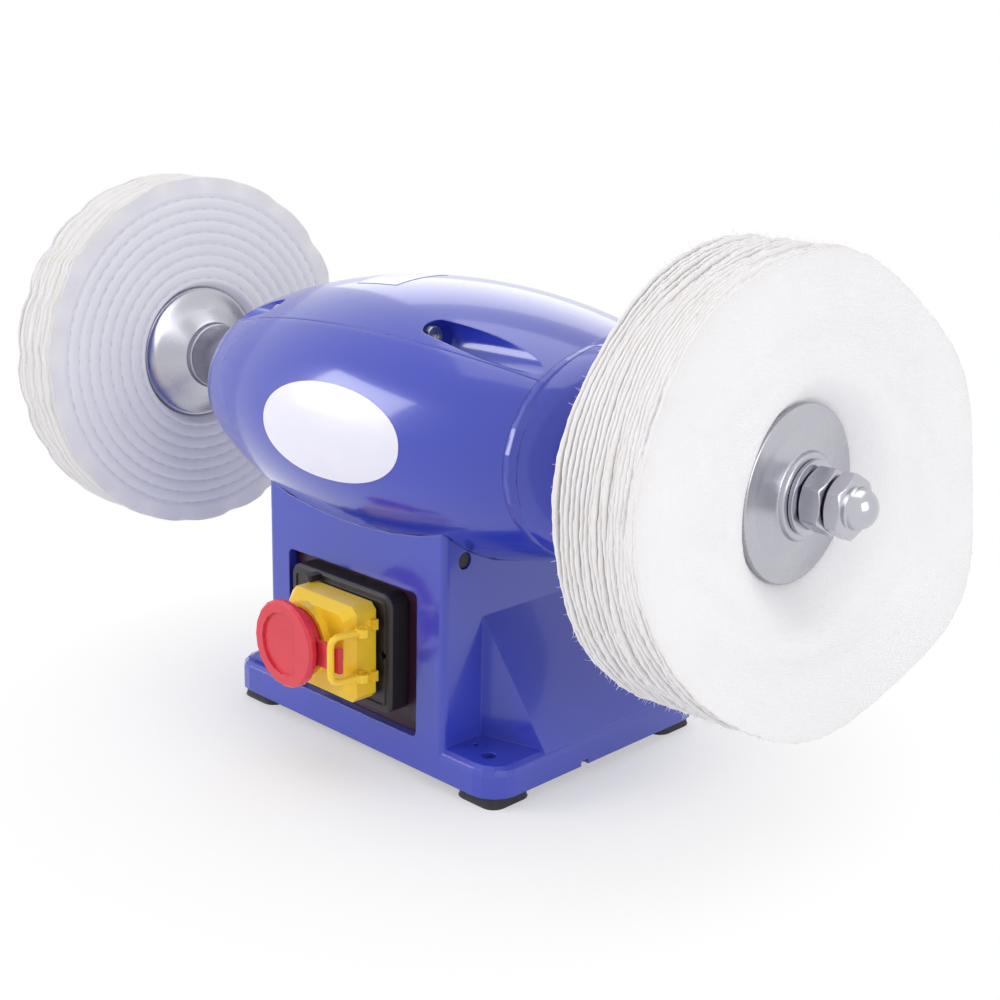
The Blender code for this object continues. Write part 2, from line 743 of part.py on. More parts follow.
def make_feet():
    for x, y in foot_places():
        middle_x = math.copysign(BASE_HALF_LENGTH - FOOT_INSET - FOOT_HALF_WIDTH, x)
        middle_y = (BASE_FRONT if y < 0 else BASE_BACK) - math.copysign(FOOT_INSET + FOOT_HALF_WIDTH, y)
        rings = []
        for z, grow in ((-GAP, -FOOT_FLARE), (FOOT_LIP - FOOT_DROP, 0), (-FOOT_DROP, FOOT_FLARE)):
            half = FOOT_HALF_WIDTH + grow
            outline = rounded_outline(middle_x - half, middle_x + half, middle_y - half, middle_y + half,
                                      FOOT_CORNER_RADIUS + grow)
            rings.append([Vector((px, py, z)) for px, py in outline])
        name = corner_name(x, y)
        foot = loft(f"foot_{name}", rings)
        cut(foot, rod("hole", (x, y, 0), BOLT_HOLE_RADIUS, "Z", -FOOT_DROP - OVERRUN, OVERRUN))
        cut(foot, rod("recess", (x, y, 0), FOOT_RECESS_RADIUS, "Z", -FOOT_DROP - OVERRUN,
                      FOOT_RECESS_DEPTH - FOOT_DROP))
        finish(foot, RUBBER)
        seat = FOOT_RECESS_DEPTH - FOOT_DROP - GAP
        bottom = seat - FOOT_SCREW_HEAD_HEIGHT
        tip = SLAB_HEIGHT - FOOT_SCREW_TIP_BELOW_PAD
        profile = [(bottom, 0), (bottom, FOOT_SCREW_HEAD_RADIUS), (seat, FOOT_SCREW_HEAD_RADIUS),
                   (seat, FOOT_SCREW_RADIUS), (tip, FOOT_SCREW_RADIUS), (tip, 0)]
        turned(f"foot_screw_{name}", profile, ZINC, SMALL_STEPS, (x, y, 0), "Z")


def bearing_span(way):
    """Inner and outer end of a bearing along the shaft."""
    outside = COLLAR_END if way > 0 else -BARREL_LEFT
    return way * (outside - BEARING_LIP - BEARING_WIDTH), way * (outside - BEARING_LIP)


def bell_bore(way, inner_end):
    """The hollow of an end bell: bearing seat, and the lip that keeps the bearing in."""
    seat_out = bearing_span(way)[1]
    return [(inner_end - way * OVERRUN, 0), (inner_end - way * OVERRUN, BEARING_RADIUS + GAP),
            (seat_out + way * GAP, BEARING_RADIUS + GAP), (seat_out + way * GAP, BEARING_LIP_RADIUS),
            (seat_out + way * (BEARING_LIP + OVERRUN), BEARING_LIP_RADIUS),
            (seat_out + way * (BEARING_LIP + OVERRUN), 0)]


def make_end_bells():
    section = crest_arc()[:-1] + belly_arc()[:-1]
    housing = BEARING_RADIUS + GAP + HOUSING_WALL
    face = BARREL_RIGHT + GAP
    rings = [barrel_ring(section, BARREL_RIGHT, 0), barrel_ring(section, BARREL_RIGHT, 0),
             barrel_ring(section, BARREL_RIGHT, -BASE_EDGE_RADIUS / 2)]
    for ring, x in zip(rings, (face, face + BELL_PLATE / 2, face + BELL_PLATE)):
        for point in ring:
            point.x = x
    right = loft("right_end_bell", rings)
    seat_in = bearing_span(1)[0]
    collar = [(seat_in - HOUSING_WALL, 0), (seat_in - HOUSING_WALL, housing), (face + SLIVER, housing),
              (face + SLIVER, COLLAR_ROOT_RADIUS), (face + BELL_PLATE, COLLAR_ROOT_RADIUS),
              (COLLAR_END - COLLAR_EDGE, COLLAR_RADIUS), (COLLAR_END, COLLAR_RADIUS - COLLAR_EDGE),
              (COLLAR_END, 0)]
    unite(right, turned("collar", collar))
    cut(right, turned("bore", bell_bore(1, seat_in - HOUSING_WALL)))
    finish(right, PAINTED_BLUE)

    stations = (BARREL_LEFT, BARREL_LEFT + BELL_PLATE)
    rings = [barrel_ring(section, x, -BARREL_WALL - GAP) for x in stations]
    left = loft("left_end_bell", rings)
    seat_in = bearing_span(-1)[0]
    hub = [(BARREL_LEFT + SLIVER, 0), (BARREL_LEFT + SLIVER, housing), (seat_in + HOUSING_WALL, housing),
           (seat_in + HOUSING_WALL, 0)]
    unite(left, turned("hub", hub))
    cut(left, turned("bore", bell_bore(-1, seat_in + HOUSING_WALL)))
    for head, centre, way in pocket_places().values():
        if way < 0:
            clearance = rod("clearance", centre, POCKET_RADIUS + POCKET_WALL + GAP * 2, "X",
                            BARREL_LEFT - OVERRUN, BARREL_LEFT + BELL_PLATE + OVERRUN, POCKET_STEPS)
            cut(left, clearance)
    finish(left, PAINTED_BLUE)


def make_bearings():
    """Sealed bearings: the inner ring carries the balls and shields, up to the outer ring."""
    for side, way in (("left", -1), ("right", 1)):
        inner_end, outer_end = bearing_span(way)
        ring("bearing_outer_ring_" + side, inner_end, outer_end, BEARING_RADIUS - BEARING_RING,
             BEARING_RADIUS, STEEL)
        race = (BEARING_RADIUS - BEARING_RING) * math.cos(math.pi / INNER_STEPS)
        ring("bearing_inner_ring_" + side, inner_end, outer_end, BEARING_BORE + GAP,
             race - BEARING_RUNNING_GAP, STEEL)


def ring(name, start, end, inner, outer, look, steps=INNER_STEPS):
    """A tube along the shaft."""
    return turned(name, [(start, inner), (start, outer), (end, outer), (end, inner)], look, steps)


def stator_radius():
    """The core seats on the belly of the shell at its longer end."""
    return BARREL_HALF_HEIGHT * taper(STATOR_LEFT) - BARREL_WALL - BARREL_RISE - GAP * 2


def stator_bore():
    return stator_radius() * STATOR_BORE_SHARE


def make_motor():
    inner, outer = stator_radius() * WINDING_INNER_SHARE, stator_radius() * WINDING_OUTER_SHARE
    ring("stator_core", STATOR_LEFT, STATOR_RIGHT, stator_bore(), stator_radius(), LAMINATION)
    for side, start, way in (("left", STATOR_LEFT, -1), ("right", STATOR_RIGHT, 1)):
        near = start + way * GAP
        far = near + way * WINDING_LENGTH
        profile = [(near, inner), (near, outer), (far - way * WINDING_EDGE, outer),
                   (far, outer - WINDING_EDGE), (far, inner)]
        turned("winding_" + side, profile, COPPER, INNER_STEPS)
    bore_flats = stator_bore() * math.cos(math.pi / INNER_STEPS)
    ring("rotor_core", STATOR_LEFT, STATOR_RIGHT, JOURNAL_RADIUS + GAP, bore_flats - ROTOR_AIR_GAP, LAMINATION)


def make_capacitor():
    middle = (0, CAPACITOR_Y, PLATE_THICKNESS + GAP + CAPACITOR_RADIUS)
    half = CAPACITOR_LENGTH / 2
    profile = [(-half, 0), (-half, CAPACITOR_RADIUS - CAPACITOR_EDGE), (CAPACITOR_EDGE - half, CAPACITOR_RADIUS),
               (half - CAPACITOR_EDGE, CAPACITOR_RADIUS), (half, CAPACITOR_RADIUS - CAPACITOR_EDGE), (half, 0)]
    turned("run_capacitor", profile, GREY_CASE, POCKET_STEPS, middle)


def make_gland():
    outside = BLOCK_BACK + GAP
    nose = outside + GLAND_HEX_LENGTH
    centre = (GLAND_X, 0, GLAND_HEIGHT)
    inner = BLOCK_BACK - CASTING_WALL - GLAND_TAIL
    profile = [(inner, GLAND_BORE), (inner, GLAND_RADIUS), (nose, GLAND_RADIUS),
               (nose, GLAND_NOSE_RADIUS), (nose + GLAND_NOSE_LENGTH / 2, GLAND_NOSE_RADIUS),
               (nose + GLAND_NOSE_LENGTH, GLAND_BORE + SLIVER * 2), (nose + GLAND_NOSE_LENGTH, GLAND_BORE)]
    gland = turned("cable_gland", profile, None, POCKET_STEPS, centre, "Y")
    corner = GLAND_HEX_FLATS / 2 / math.cos(math.pi / 6)
    hexagon = turned("hexagon", [(outside, GLAND_BORE + SLIVER), (outside, corner), (nose - SLIVER, corner),
                                 (nose - SLIVER, GLAND_BORE + SLIVER)], None, 6, centre, "Y")
    unite(gland, hexagon)
    finish(gland, BLACK_PLASTIC)


# Switch


def housing_front():
    return BASE_FRONT - HOUSING_PROUD


def make_switch_panel():
    front = BASE_FRONT + CASTING_WALL + GAP
    back = front + PANEL_THICKNESS
    outline = rounded_outline(WINDOW_BOTTOM - PANEL_MARGIN, WINDOW_TOP + PANEL_MARGIN,
                              WINDOW_LEFT - PANEL_MARGIN, WINDOW_RIGHT + PANEL_MARGIN, WINDOW_CORNER_RADIUS)
    panel = prism("switch_panel", outline, "Y", front, back)
    hole = housing_outline(HOUSING_BODY_INSET - GAP)
    cut(panel, prism("hole", hole, "Y", front - OVERRUN, back + OVERRUN))
    finish(panel, DARK_PANEL)


def housing_outline(inset):
    return rounded_outline(HOUSING_BOTTOM + inset, HOUSING_TOP - inset, HOUSING_LEFT + inset,
                           HOUSING_RIGHT - inset, max(HOUSING_CORNER - inset, SLIVER))


def hinge_place():
    return LID_LEFT + HINGE_INSET_X, housing_front() - LID_STAND - HINGE_INSET_Y


def button_outline(x, grow=0.0):
    middle = (LID_BOTTOM + LID_TOP) / 2
    return rounded_outline(middle - BUTTON_HEIGHT / 2 - grow, middle + BUTTON_HEIGHT / 2 + grow,
                           x - BUTTON_WIDTH / 2 - grow, x + BUTTON_WIDTH / 2 + grow, BUTTON_CORNER + grow, 3)


def stop_button_x():
    return KNOB_X - BUTTON_WIDTH / 2 + PUSH_ROD_RADIUS + GAP


def make_switch_housing():
    front = housing_front()
    seat = BASE_FRONT + CASTING_WALL
    rings = []
    for y, inset in ((seat, 0), (front + HOUSING_EDGE, 0), (front, HOUSING_EDGE)):
        rings.append([Vector((x, y, z)) for z, x in housing_outline(inset)])
    housing = loft("switch_housing", rings)
    body = prism("body", housing_outline(HOUSING_BODY_INSET), "Y", seat - SLIVER, seat + HOUSING_BODY_DEPTH)
    unite(housing, body)
    bead = prism("bead", housing_outline(BEAD_INSET), "Y", front - BEAD_HEIGHT, front + SLIVER)
    cut(bead, prism("inside", housing_outline(BEAD_INSET + BEAD_WIDTH), "Y", front - OVERRUN, front + OVERRUN))
    unite(housing, bead)
    x, y = hinge_place()
    for low in (LID_TOP + LUG_CLEARANCE, LID_BOTTOM - LUG_CLEARANCE - LUG_HEIGHT):
        lug = rounded_outline(x - HINGE_INSET_X, x + HINGE_INSET_X, y - HINGE_INSET_X, front + SLIVER,
                              HINGE_INSET_X - SLIVER)
        unite(housing, prism("lug", lug, "Z", low, low + LUG_HEIGHT))
    cut(housing, rod("pin_hole", (x, y, 0), HINGE_PIN_RADIUS + GAP, "Z", LID_BOTTOM - LUG_HEIGHT,
                     LID_TOP + LUG_CLEARANCE + LUG_HEIGHT - SLIVER, SMALL_STEPS))
    for button_x in (stop_button_x(), START_BUTTON_X):
        pocket = button_outline(button_x, BUTTON_CLEARANCE)
        floor = front - BUTTON_PROUD + BUTTON_DEPTH + BUTTON_TRAVEL + GAP
        cut(housing, prism("pocket", pocket, "Y", front - OVERRUN, floor))
    middle = (HOUSING_BOTTOM + HOUSING_TOP) / 2
    cut(housing, rod("lock_hole", (HOUSING_RIGHT - LOCK_HOLE_INSET, 0, middle), LOCK_HOLE_RADIUS, "Y",
                     front - OVERRUN, front + OVERRUN, SMALL_STEPS))
    finish(housing, BLACK_PLASTIC)


def make_buttons():
    for name, x, look in (("stop_button", stop_button_x(), RED_PLASTIC),
                          ("start_button", START_BUTTON_X, GREEN_PLASTIC)):
        front = housing_front() - BUTTON_PROUD
        button = prism(name, button_outline(x), "Y", front, front + BUTTON_DEPTH)
        finish(button, look)
        move_origin(button, (x, front, (LID_BOTTOM + LID_TOP) / 2))


def lid_ring(y, inset, chamfer):
    """Section of the lid: a rectangle with cut corners."""
    left, right = LID_LEFT + inset, LID_RIGHT - inset
    low, high = LID_BOTTOM + inset, LID_TOP - inset
    points = ((right, low + chamfer), (right, high - chamfer), (right - chamfer, high), (left + chamfer, high),
              (left, high - chamfer), (left, low + chamfer), (left + chamfer, low), (right - chamfer, low))
    return [Vector((x, y, z)) for x, z in points]


def make_lid():
    back = housing_front() - LID_STAND
    front = back - LID_DEPTH
    chamfer = LID_OUTLINE_CHAMFER
    lid = loft("switch_lid", [lid_ring(back, 0, chamfer), lid_ring(front + LID_CHAMFER, 0, chamfer),
                              lid_ring(front, LID_CHAMFER * 2 / 3, chamfer)])
    centre = (KNOB_X, 0, KNOB_Z)
    collar_radius = STEM_RADIUS + STEM_CLEARANCE + LID_COLLAR_WALL
    unite(lid, rod("collar", centre, collar_radius, "Y", front - LID_COLLAR_HEIGHT, front + SLIVER,
                   TURNED_STEPS))
    for z in (BAIL_TOP - EAR_HEIGHT, BAIL_BOTTOM + EAR_HEIGHT):
        unite(lid, box("ear", (LID_RIGHT - SLIVER, back - EAR_DEPTH, z - EAR_HEIGHT / 2),
                       (LID_RIGHT + EAR_REACH, back - SLIVER, z + EAR_HEIGHT / 2)))
    root = LID_RIGHT - LID_WALL / 2
    bail = [(root, BAIL_Y, BAIL_TOP), (BAIL_X, BAIL_Y, BAIL_TOP), (BAIL_X, BAIL_Y, BAIL_BOTTOM),
            (root, BAIL_Y, BAIL_BOTTOM)]
    unite(lid, swept_rod("bail", rounded_path(bail, BAIL_CORNER), ROD_RADIUS))
    narrowing = LID_CHAMFER * 2 / 3 * (1 - LID_WALL / LID_CHAMFER)
    hollow = loft("hollow", [lid_ring(back + OVERRUN, LID_WALL, LID_HOLLOW_CHAMFER),
                             lid_ring(front + LID_CHAMFER, LID_WALL, LID_HOLLOW_CHAMFER),
                             lid_ring(front + LID_WALL, LID_WALL + narrowing, LID_HOLLOW_CHAMFER)])
    combine(hollow, box("room", (LID_LEFT + LID_HINGE_WALL, front, LID_BOTTOM),
                        (LID_RIGHT, back + OVERRUN * 2, LID_TOP)), "INTERSECT")
    cut(lid, hollow)
    cut(lid, rod("stem_well", centre, STEM_RADIUS + STEM_CLEARANCE, "Y", front - LID_COLLAR_HEIGHT - OVERRUN,
                 front, TURNED_STEPS))
    cut(lid, rod("guide_hole", centre, GUIDE_RADIUS + GAP, "Y", front - OVERRUN, front + LID_WALL + OVERRUN,
                 TURNED_STEPS))
    x, y = hinge_place()
    cut(lid, rod("pin_hole", (x, y, 0), HINGE_PIN_RADIUS + GAP, "Z", LID_BOTTOM - OVERRUN, LID_TOP + OVERRUN,
                 SMALL_STEPS))
    finish(lid, YELLOW_PLASTIC)
    move_origin(lid, (x, y, (LID_BOTTOM + LID_TOP) / 2))
    pin_low = LID_BOTTOM - LUG_HEIGHT + GAP
    pin_high = LID_TOP + LUG_CLEARANCE + LUG_HEIGHT - SLIVER - GAP
    finish(rod("lid_hinge_pin", (x, y, 0), HINGE_PIN_RADIUS, "Z", pin_low, pin_high, SMALL_STEPS), STEEL)


def make_clasp():
    away = Vector((LOOP_X - BAIL_X, LOOP_Y - BAIL_Y, 0)).normalized()
    start = Vector((BAIL_X, BAIL_Y, 0)) + away * (ROD_RADIUS + EYE_CLEARANCE + SLIVER)
    corners = [(start.x, start.y, LOOP_TOP), (LOOP_X, LOOP_Y, LOOP_TOP), (LOOP_X, LOOP_Y, LOOP_BOTTOM),
               (start.x, start.y, LOOP_BOTTOM)]
    clasp = swept_rod("lid_clasp", rounded_path(corners, LOOP_CORNER), ROD_RADIUS)
    for z in (LOOP_TOP, LOOP_BOTTOM):
        unite(clasp, rod("eye", (BAIL_X, BAIL_Y, z), EYE_RADIUS, "Z", -EYE_HEIGHT / 2 - GAP,
                         EYE_HEIGHT / 2 + GAP, POCKET_STEPS))
    cut(clasp, rod("bore", (BAIL_X, BAIL_Y, 0), ROD_RADIUS + EYE_CLEARANCE, "Z", LOOP_BOTTOM - EYE_HEIGHT,
                   LOOP_TOP + EYE_HEIGHT, POCKET_STEPS))
    finish(clasp, YELLOW_PLASTIC)
    move_origin(clasp, (BAIL_X, BAIL_Y, (LOOP_TOP + LOOP_BOTTOM) / 2))


def make_knob():
    lid_front = housing_front() - LID_STAND - LID_DEPTH
    stem_back = lid_front - BUTTON_TRAVEL - GAP
    guide_back = lid_front + LID_WALL + BUTTON_TRAVEL
    rod_back = housing_front() - BUTTON_PROUD - GAP
    disc_back = KNOB_FRONT + KNOB_DISC
    profile = [(KNOB_FRONT, 0), (KNOB_FRONT, KNOB_RADIUS - KNOB_EDGE), (KNOB_FRONT + KNOB_EDGE, KNOB_RADIUS),
               (disc_back - KNOB_EDGE, KNOB_RADIUS), (disc_back, KNOB_RADIUS - KNOB_EDGE),
               (disc_back, STEM_RADIUS), (stem_back, STEM_RADIUS), (stem_back, GUIDE_RADIUS),
               (guide_back, GUIDE_RADIUS), (guide_back, PUSH_ROD_RADIUS), (rod_back, PUSH_ROD_RADIUS),
               (rod_back, 0)]
    centre = (KNOB_X, 0, KNOB_Z)
    knob = turned("stop_knob", profile, None, TURNED_STEPS, centre, "Y")
    limit = math.acos(KNOB_DISH_CHORD / KNOB_DISH_RADIUS)
    dish = []
    for k in range(POCKET_STEPS + 1):
        turn = limit + (2 * math.pi - 2 * limit) * k / POCKET_STEPS
        dish.append((KNOB_Z + KNOB_DISH_RADIUS * math.sin(turn), KNOB_X + KNOB_DISH_RADIUS * math.cos(turn)))
    cut(knob, prism("dish", dish, "Y", KNOB_FRONT - OVERRUN, KNOB_FRONT + KNOB_DISH_DEPTH))
    unite(knob, box("tongue", (KNOB_X + STEM_RADIUS - OVERRUN, TONGUE_FRONT, KNOB_Z - TONGUE_HALF_HEIGHT),
                    (TONGUE_RIGHT, TONGUE_FRONT + TONGUE_THICKNESS, KNOB_Z + TONGUE_HALF_HEIGHT)))
    finish(knob, RED_PLASTIC)
    move_origin(knob, (KNOB_X, KNOB_FRONT, KNOB_Z))


# Spindle


def shaft_tip(way):
    nut_start = outer_flange_end(way) + way * (WASHER_THICKNESS + GAP * 2)
    return nut_start + way * (NUT_THICKNESS + NUT_SPACE + ACORN_HEX * ACORN_BORE_SHARE)


def outer_flange_end(way):
    face = RIGHT_OUTER_FACE if way > 0 else LEFT_OUTER_FACE
    return face + way * FLAT_FLANGE_RISE


def flange_profile(face, way, rise, bore):
    """A dished cone flange: its rim presses on the buff at face, its hub points along way."""
    hub = face + way * rise
    profile = [(face + way * FLANGE_DISH, bore), (face + way * FLANGE_DISH, FLANGE_HUB_RADIUS),
               (face, FLANGE_RADIUS - FLANGE_RIM), (face, FLANGE_RADIUS), (face + way * FLANGE_RIM, FLANGE_RADIUS)]
    run = rise - FLANGE_RIM - min(FLANGE_HUB_LENGTH, rise / 3)
    drop = FLANGE_RADIUS - FLANGE_RIM / 2 - FLANGE_HUB_RADIUS
    for k in range(CONE_STEPS + 1):
        share = k / CONE_STEPS
        profile.append((face + way * (FLANGE_RIM + run * share ** FLANGE_CURVE_SHARE),
                        FLANGE_HUB_RADIUS + drop * (1 - share)))
    profile += [(hub, FLANGE_HUB_RADIUS - SLIVER), (hub, bore)]
    return profile


def make_shaft():
    left, right = shaft_tip(-1), shaft_tip(1)
    step_left = LEFT_INNER_FACE + TALL_FLANGE_RISE + GAP
    step_right = RIGHT_INNER_FACE - TALL_FLANGE_RISE - GAP
    profile = [(left, 0), (left, STUD_RADIUS - SHAFT_CHAMFER), (left + SHAFT_CHAMFER, STUD_RADIUS),
               (step_left, STUD_RADIUS), (step_left, JOURNAL_RADIUS), (step_right, JOURNAL_RADIUS),
               (step_right, STUD_RADIUS), (right - SHAFT_CHAMFER, STUD_RADIUS),
               (right, STUD_RADIUS - SHAFT_CHAMFER), (right, 0)]
    turned("spindle_shaft", profile, STEEL, INNER_STEPS)


def make_spacers():
    for side, way, face in (("left", -1, LEFT_INNER_FACE), ("right", 1, RIGHT_INNER_FACE)):
        inner_end, outer_end = bearing_span(way)
        hub = face - way * TALL_FLANGE_RISE
        ring("spacer_" + side, outer_end + way * GAP, hub - way * GAP, JOURNAL_RADIUS + GAP, SPACER_RADIUS,
             ZINC, TURNED_STEPS)


def make_flanges():
    bore = STUD_RADIUS + GAP
    for name, face, way, rise in (("inner_flange_left", LEFT_INNER_FACE, 1, TALL_FLANGE_RISE),
                                  ("outer_flange_left", LEFT_OUTER_FACE, -1, FLAT_FLANGE_RISE),
                                  ("inner_flange_right", RIGHT_INNER_FACE, -1, TALL_FLANGE_RISE),
                                  ("outer_flange_right", RIGHT_OUTER_FACE, 1, FLAT_FLANGE_RISE)):
        turned(name, flange_profile(face, way, rise, bore), ZINC)


def hex_nut(name, start, way, length, bore):
    """A six-sided nut whose outer corners are turned down to its flats."""
    flat = NUT_FLATS / 2
    corner = flat / math.cos(math.pi / 6)
    end = start + way * length
    slope = (corner - flat) * math.tan(math.pi / 6)
    nut = turned(name, [(start, 0), (start, corner), (end, corner), (end, 0)], None, 6)
    shape = turned("chamfers", [(start, bore), (start, flat), (start + way * slope, corner + SLIVER),
                                (end - way * slope, corner + SLIVER), (end, flat), (end, bore)])
    return combine(nut, shape, "INTERSECT")


def make_nuts():
    bore = STUD_RADIUS + GAP
    for side, way in (("left", -1), ("right", 1)):
        seat = outer_flange_end(way) + way * GAP
        ring("washer_" + side, seat, seat + way * WASHER_THICKNESS, bore, WASHER_RADIUS, ZINC, TURNED_STEPS)
        start = seat + way * (WASHER_THICKNESS + GAP)
        nut = hex_nut("hex_nut_" + side, start, way, NUT_THICKNESS, bore)
        finish(nut, ZINC)
        start += way * (NUT_THICKNESS + NUT_SPACE)
        acorn = hex_nut("acorn_nut_" + side, start, way, ACORN_HEX, 0)
        dome_start = start + way * (ACORN_HEX - SLIVER)
        profile = [(dome_start, 0)]
        for k in range(DOME_STEPS):
            turn = math.pi / 2 * k / DOME_STEPS
            profile.append((dome_start + way * (SLIVER + ACORN_DOME_HEIGHT * math.sin(turn)),
                            ACORN_DOME_RADIUS * math.cos(turn)))
        profile.insert(1, (dome_start, ACORN_DOME_RADIUS))
        profile.append((dome_start + way * (SLIVER + ACORN_DOME_HEIGHT), 0))
        unite(acorn, turned("dome", profile, None, INNER_STEPS))
        cut(acorn, rod("blind_bore", (0, 0, SHAFT_HEIGHT), bore, "X", start - way * OVERRUN,
                       shaft_tip(way) + way * GAP, TURNED_STEPS))
        finish(acorn, ZINC)


def make_stitched_buff():
    """Turned body with a sewn channel for each row of stitches on both faces."""
    clamp_right = LEFT_INNER_FACE - GAP
    clamp_left = LEFT_OUTER_FACE + GAP
    first = FLANGE_RADIUS + STITCHED_EDGE
    last = BUFF_RADIUS - STITCH_OUTER_INSET
    pitch = (last - first) / (STITCH_ROWS - 1)

    def face(level, way):
        points = [(level, first - STITCHED_EDGE / 2)]
        for row in range(STITCH_ROWS):
            radius = first + pitch * row
            points.append((level - way * STITCH_DEPTH, radius))
            points.append((level, radius + pitch / 2))
        return points

    right = [(clamp_right, BUFF_BORE), (clamp_right, FLANGE_RADIUS + GAP)] + face(STITCHED_INNER_FACE, 1)
    middle = (STITCHED_INNER_FACE + STITCHED_OUTER_FACE) / 2
    rim = [(STITCHED_INNER_FACE - STITCHED_EDGE / 2, BUFF_RADIUS - GAP), (middle, BUFF_RADIUS),
           (STITCHED_OUTER_FACE + STITCHED_EDGE / 2, BUFF_RADIUS - GAP)]
    left = [(clamp_left, BUFF_BORE), (clamp_left, FLANGE_RADIUS + GAP)] + face(STITCHED_OUTER_FACE, -1)
    turned("stitched_buff", right + rim + left[::-1], COTTON, BUFF_STEPS, smooth_angle=60)


def loose_faces():
    """Where the packs part, at the clamp and at the rim, from the motor outwards."""
    clamp = [RIGHT_INNER_FACE + GAP, RIGHT_OUTER_FACE - GAP]
    rim = [LOOSE_INNER_FACE, LOOSE_OUTER_FACE]
    faces = []
    for k in range(PLY_PACKS + 1):
        share = k / PLY_PACKS
        faces.append((clamp[0] + (clamp[1] - clamp[0]) * share, rim[0] + (rim[1] - rim[0]) * share))
    return faces


def make_loose_buff():
    """Packs of loose plies, clamped thin at the hub and wavy where they fan out."""
    faces = loose_faces()
    clamp_radius = FLANGE_RADIUS + GAP
    for pack in range(PLY_PACKS):
        bm = bmesh.new()
        sides = []
        for face_index, way in ((pack, 1), (pack + 1, -1)):
            clamp, rim = faces[face_index]
            rows = []
            radii = [BUFF_BORE, clamp_radius]
            radii += [clamp_radius + (BUFF_RADIUS - clamp_radius) * (k + 1) / PLY_RINGS
                      for k in range(PLY_RINGS)]
            for index, radius in enumerate(radii):
                out = max(0.0, (radius - clamp_radius) / (BUFF_RADIUS - clamp_radius))
                puff = math.sin(math.pi / 2 * min(1.0, out / PLY_EDGE_SHARE)) if out else 0.0
                row = []
                for step in range(BUFF_STEPS):
                    turn = 2 * math.pi * step / BUFF_STEPS
                    wave = math.sin(PLY_WAVES * turn + pack) * PLY_WAVE * out
                    x = clamp + (rim - clamp) * puff + wave
                    x += way * (GAP / 2 + PLY_SPLIT / 2 * out ** 2)
                    r = radius
                    if index == len(radii) - 1:
                        r += PLY_RADIUS_WAVE * (math.sin(PLY_WAVES * turn + 2 * pack) - 1) / 2
                    row.append(bm.verts.new((x, r * math.cos(turn), SHAFT_HEIGHT + r * math.sin(turn))))
                rows.append(row)
            sides.append(rows)
        near, far = sides
        loop = near + far[::-1]
        for here, after in zip(loop, loop[1:] + loop[:1]):
            for k in range(BUFF_STEPS):
                n = (k + 1) % BUFF_STEPS
                bm.faces.new((here[k], here[n], after[n], after[k]))
        add(f"loose_buff_ply_pack_{pack + 1}", bm, COTTON, 60)


def main():
    clear_scene()
    make_pedestal()
    make_plugs()
    make_bottom_plate()
    make_feet()
    make_shells()
    make_casing_screws()
    make_end_bells()
    make_bearings()
    make_motor()
    make_capacitor()
    make_gland()
    make_switch_panel()
    make_switch_housing()
    make_buttons()
    make_lid()
    make_clasp()
    make_knob()
    make_shaft()
    make_spacers()
    make_flanges()
    make_nuts()
    make_stitched_buff()
    make_loose_buff()


main()
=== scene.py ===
"""Looks of the bench buffer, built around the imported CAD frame."""

import json
import math
import random

import bmesh
import bpy
import numpy as np
from mathutils import Matrix, Vector


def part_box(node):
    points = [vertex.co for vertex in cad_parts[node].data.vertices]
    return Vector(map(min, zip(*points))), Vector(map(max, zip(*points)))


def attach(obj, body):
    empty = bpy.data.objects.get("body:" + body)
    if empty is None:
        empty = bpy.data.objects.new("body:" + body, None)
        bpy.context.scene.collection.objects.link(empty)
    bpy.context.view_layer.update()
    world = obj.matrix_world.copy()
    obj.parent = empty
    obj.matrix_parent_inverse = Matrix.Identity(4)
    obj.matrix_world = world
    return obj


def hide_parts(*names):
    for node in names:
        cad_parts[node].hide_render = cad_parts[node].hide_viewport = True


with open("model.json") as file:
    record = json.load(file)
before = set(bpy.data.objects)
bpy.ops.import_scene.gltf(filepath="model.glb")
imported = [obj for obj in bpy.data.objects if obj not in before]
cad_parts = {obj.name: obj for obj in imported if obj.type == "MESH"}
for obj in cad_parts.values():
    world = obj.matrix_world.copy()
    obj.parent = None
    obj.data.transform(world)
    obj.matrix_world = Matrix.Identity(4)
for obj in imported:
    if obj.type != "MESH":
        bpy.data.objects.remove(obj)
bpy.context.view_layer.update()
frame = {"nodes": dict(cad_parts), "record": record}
nodes = frame["nodes"]

# Main sizes of the CAD model, in metres.
SHAFT_Z = 0.1522
FLOOR_Z = -0.0057
FLANGE_R, FLANGE_HUB_R, FLANGE_RIM = 0.037, 0.0185, 0.003
LEFT_INNER, LEFT_OUTER = -0.2113, -0.2310
RIGHT_INNER, RIGHT_OUTER = 0.1720, 0.1955
TALL_RISE, FLAT_RISE, DISH = 0.0185, 0.0076, 0.0025
BORE = 0.0083
BUFF_R = 0.100


# Materials


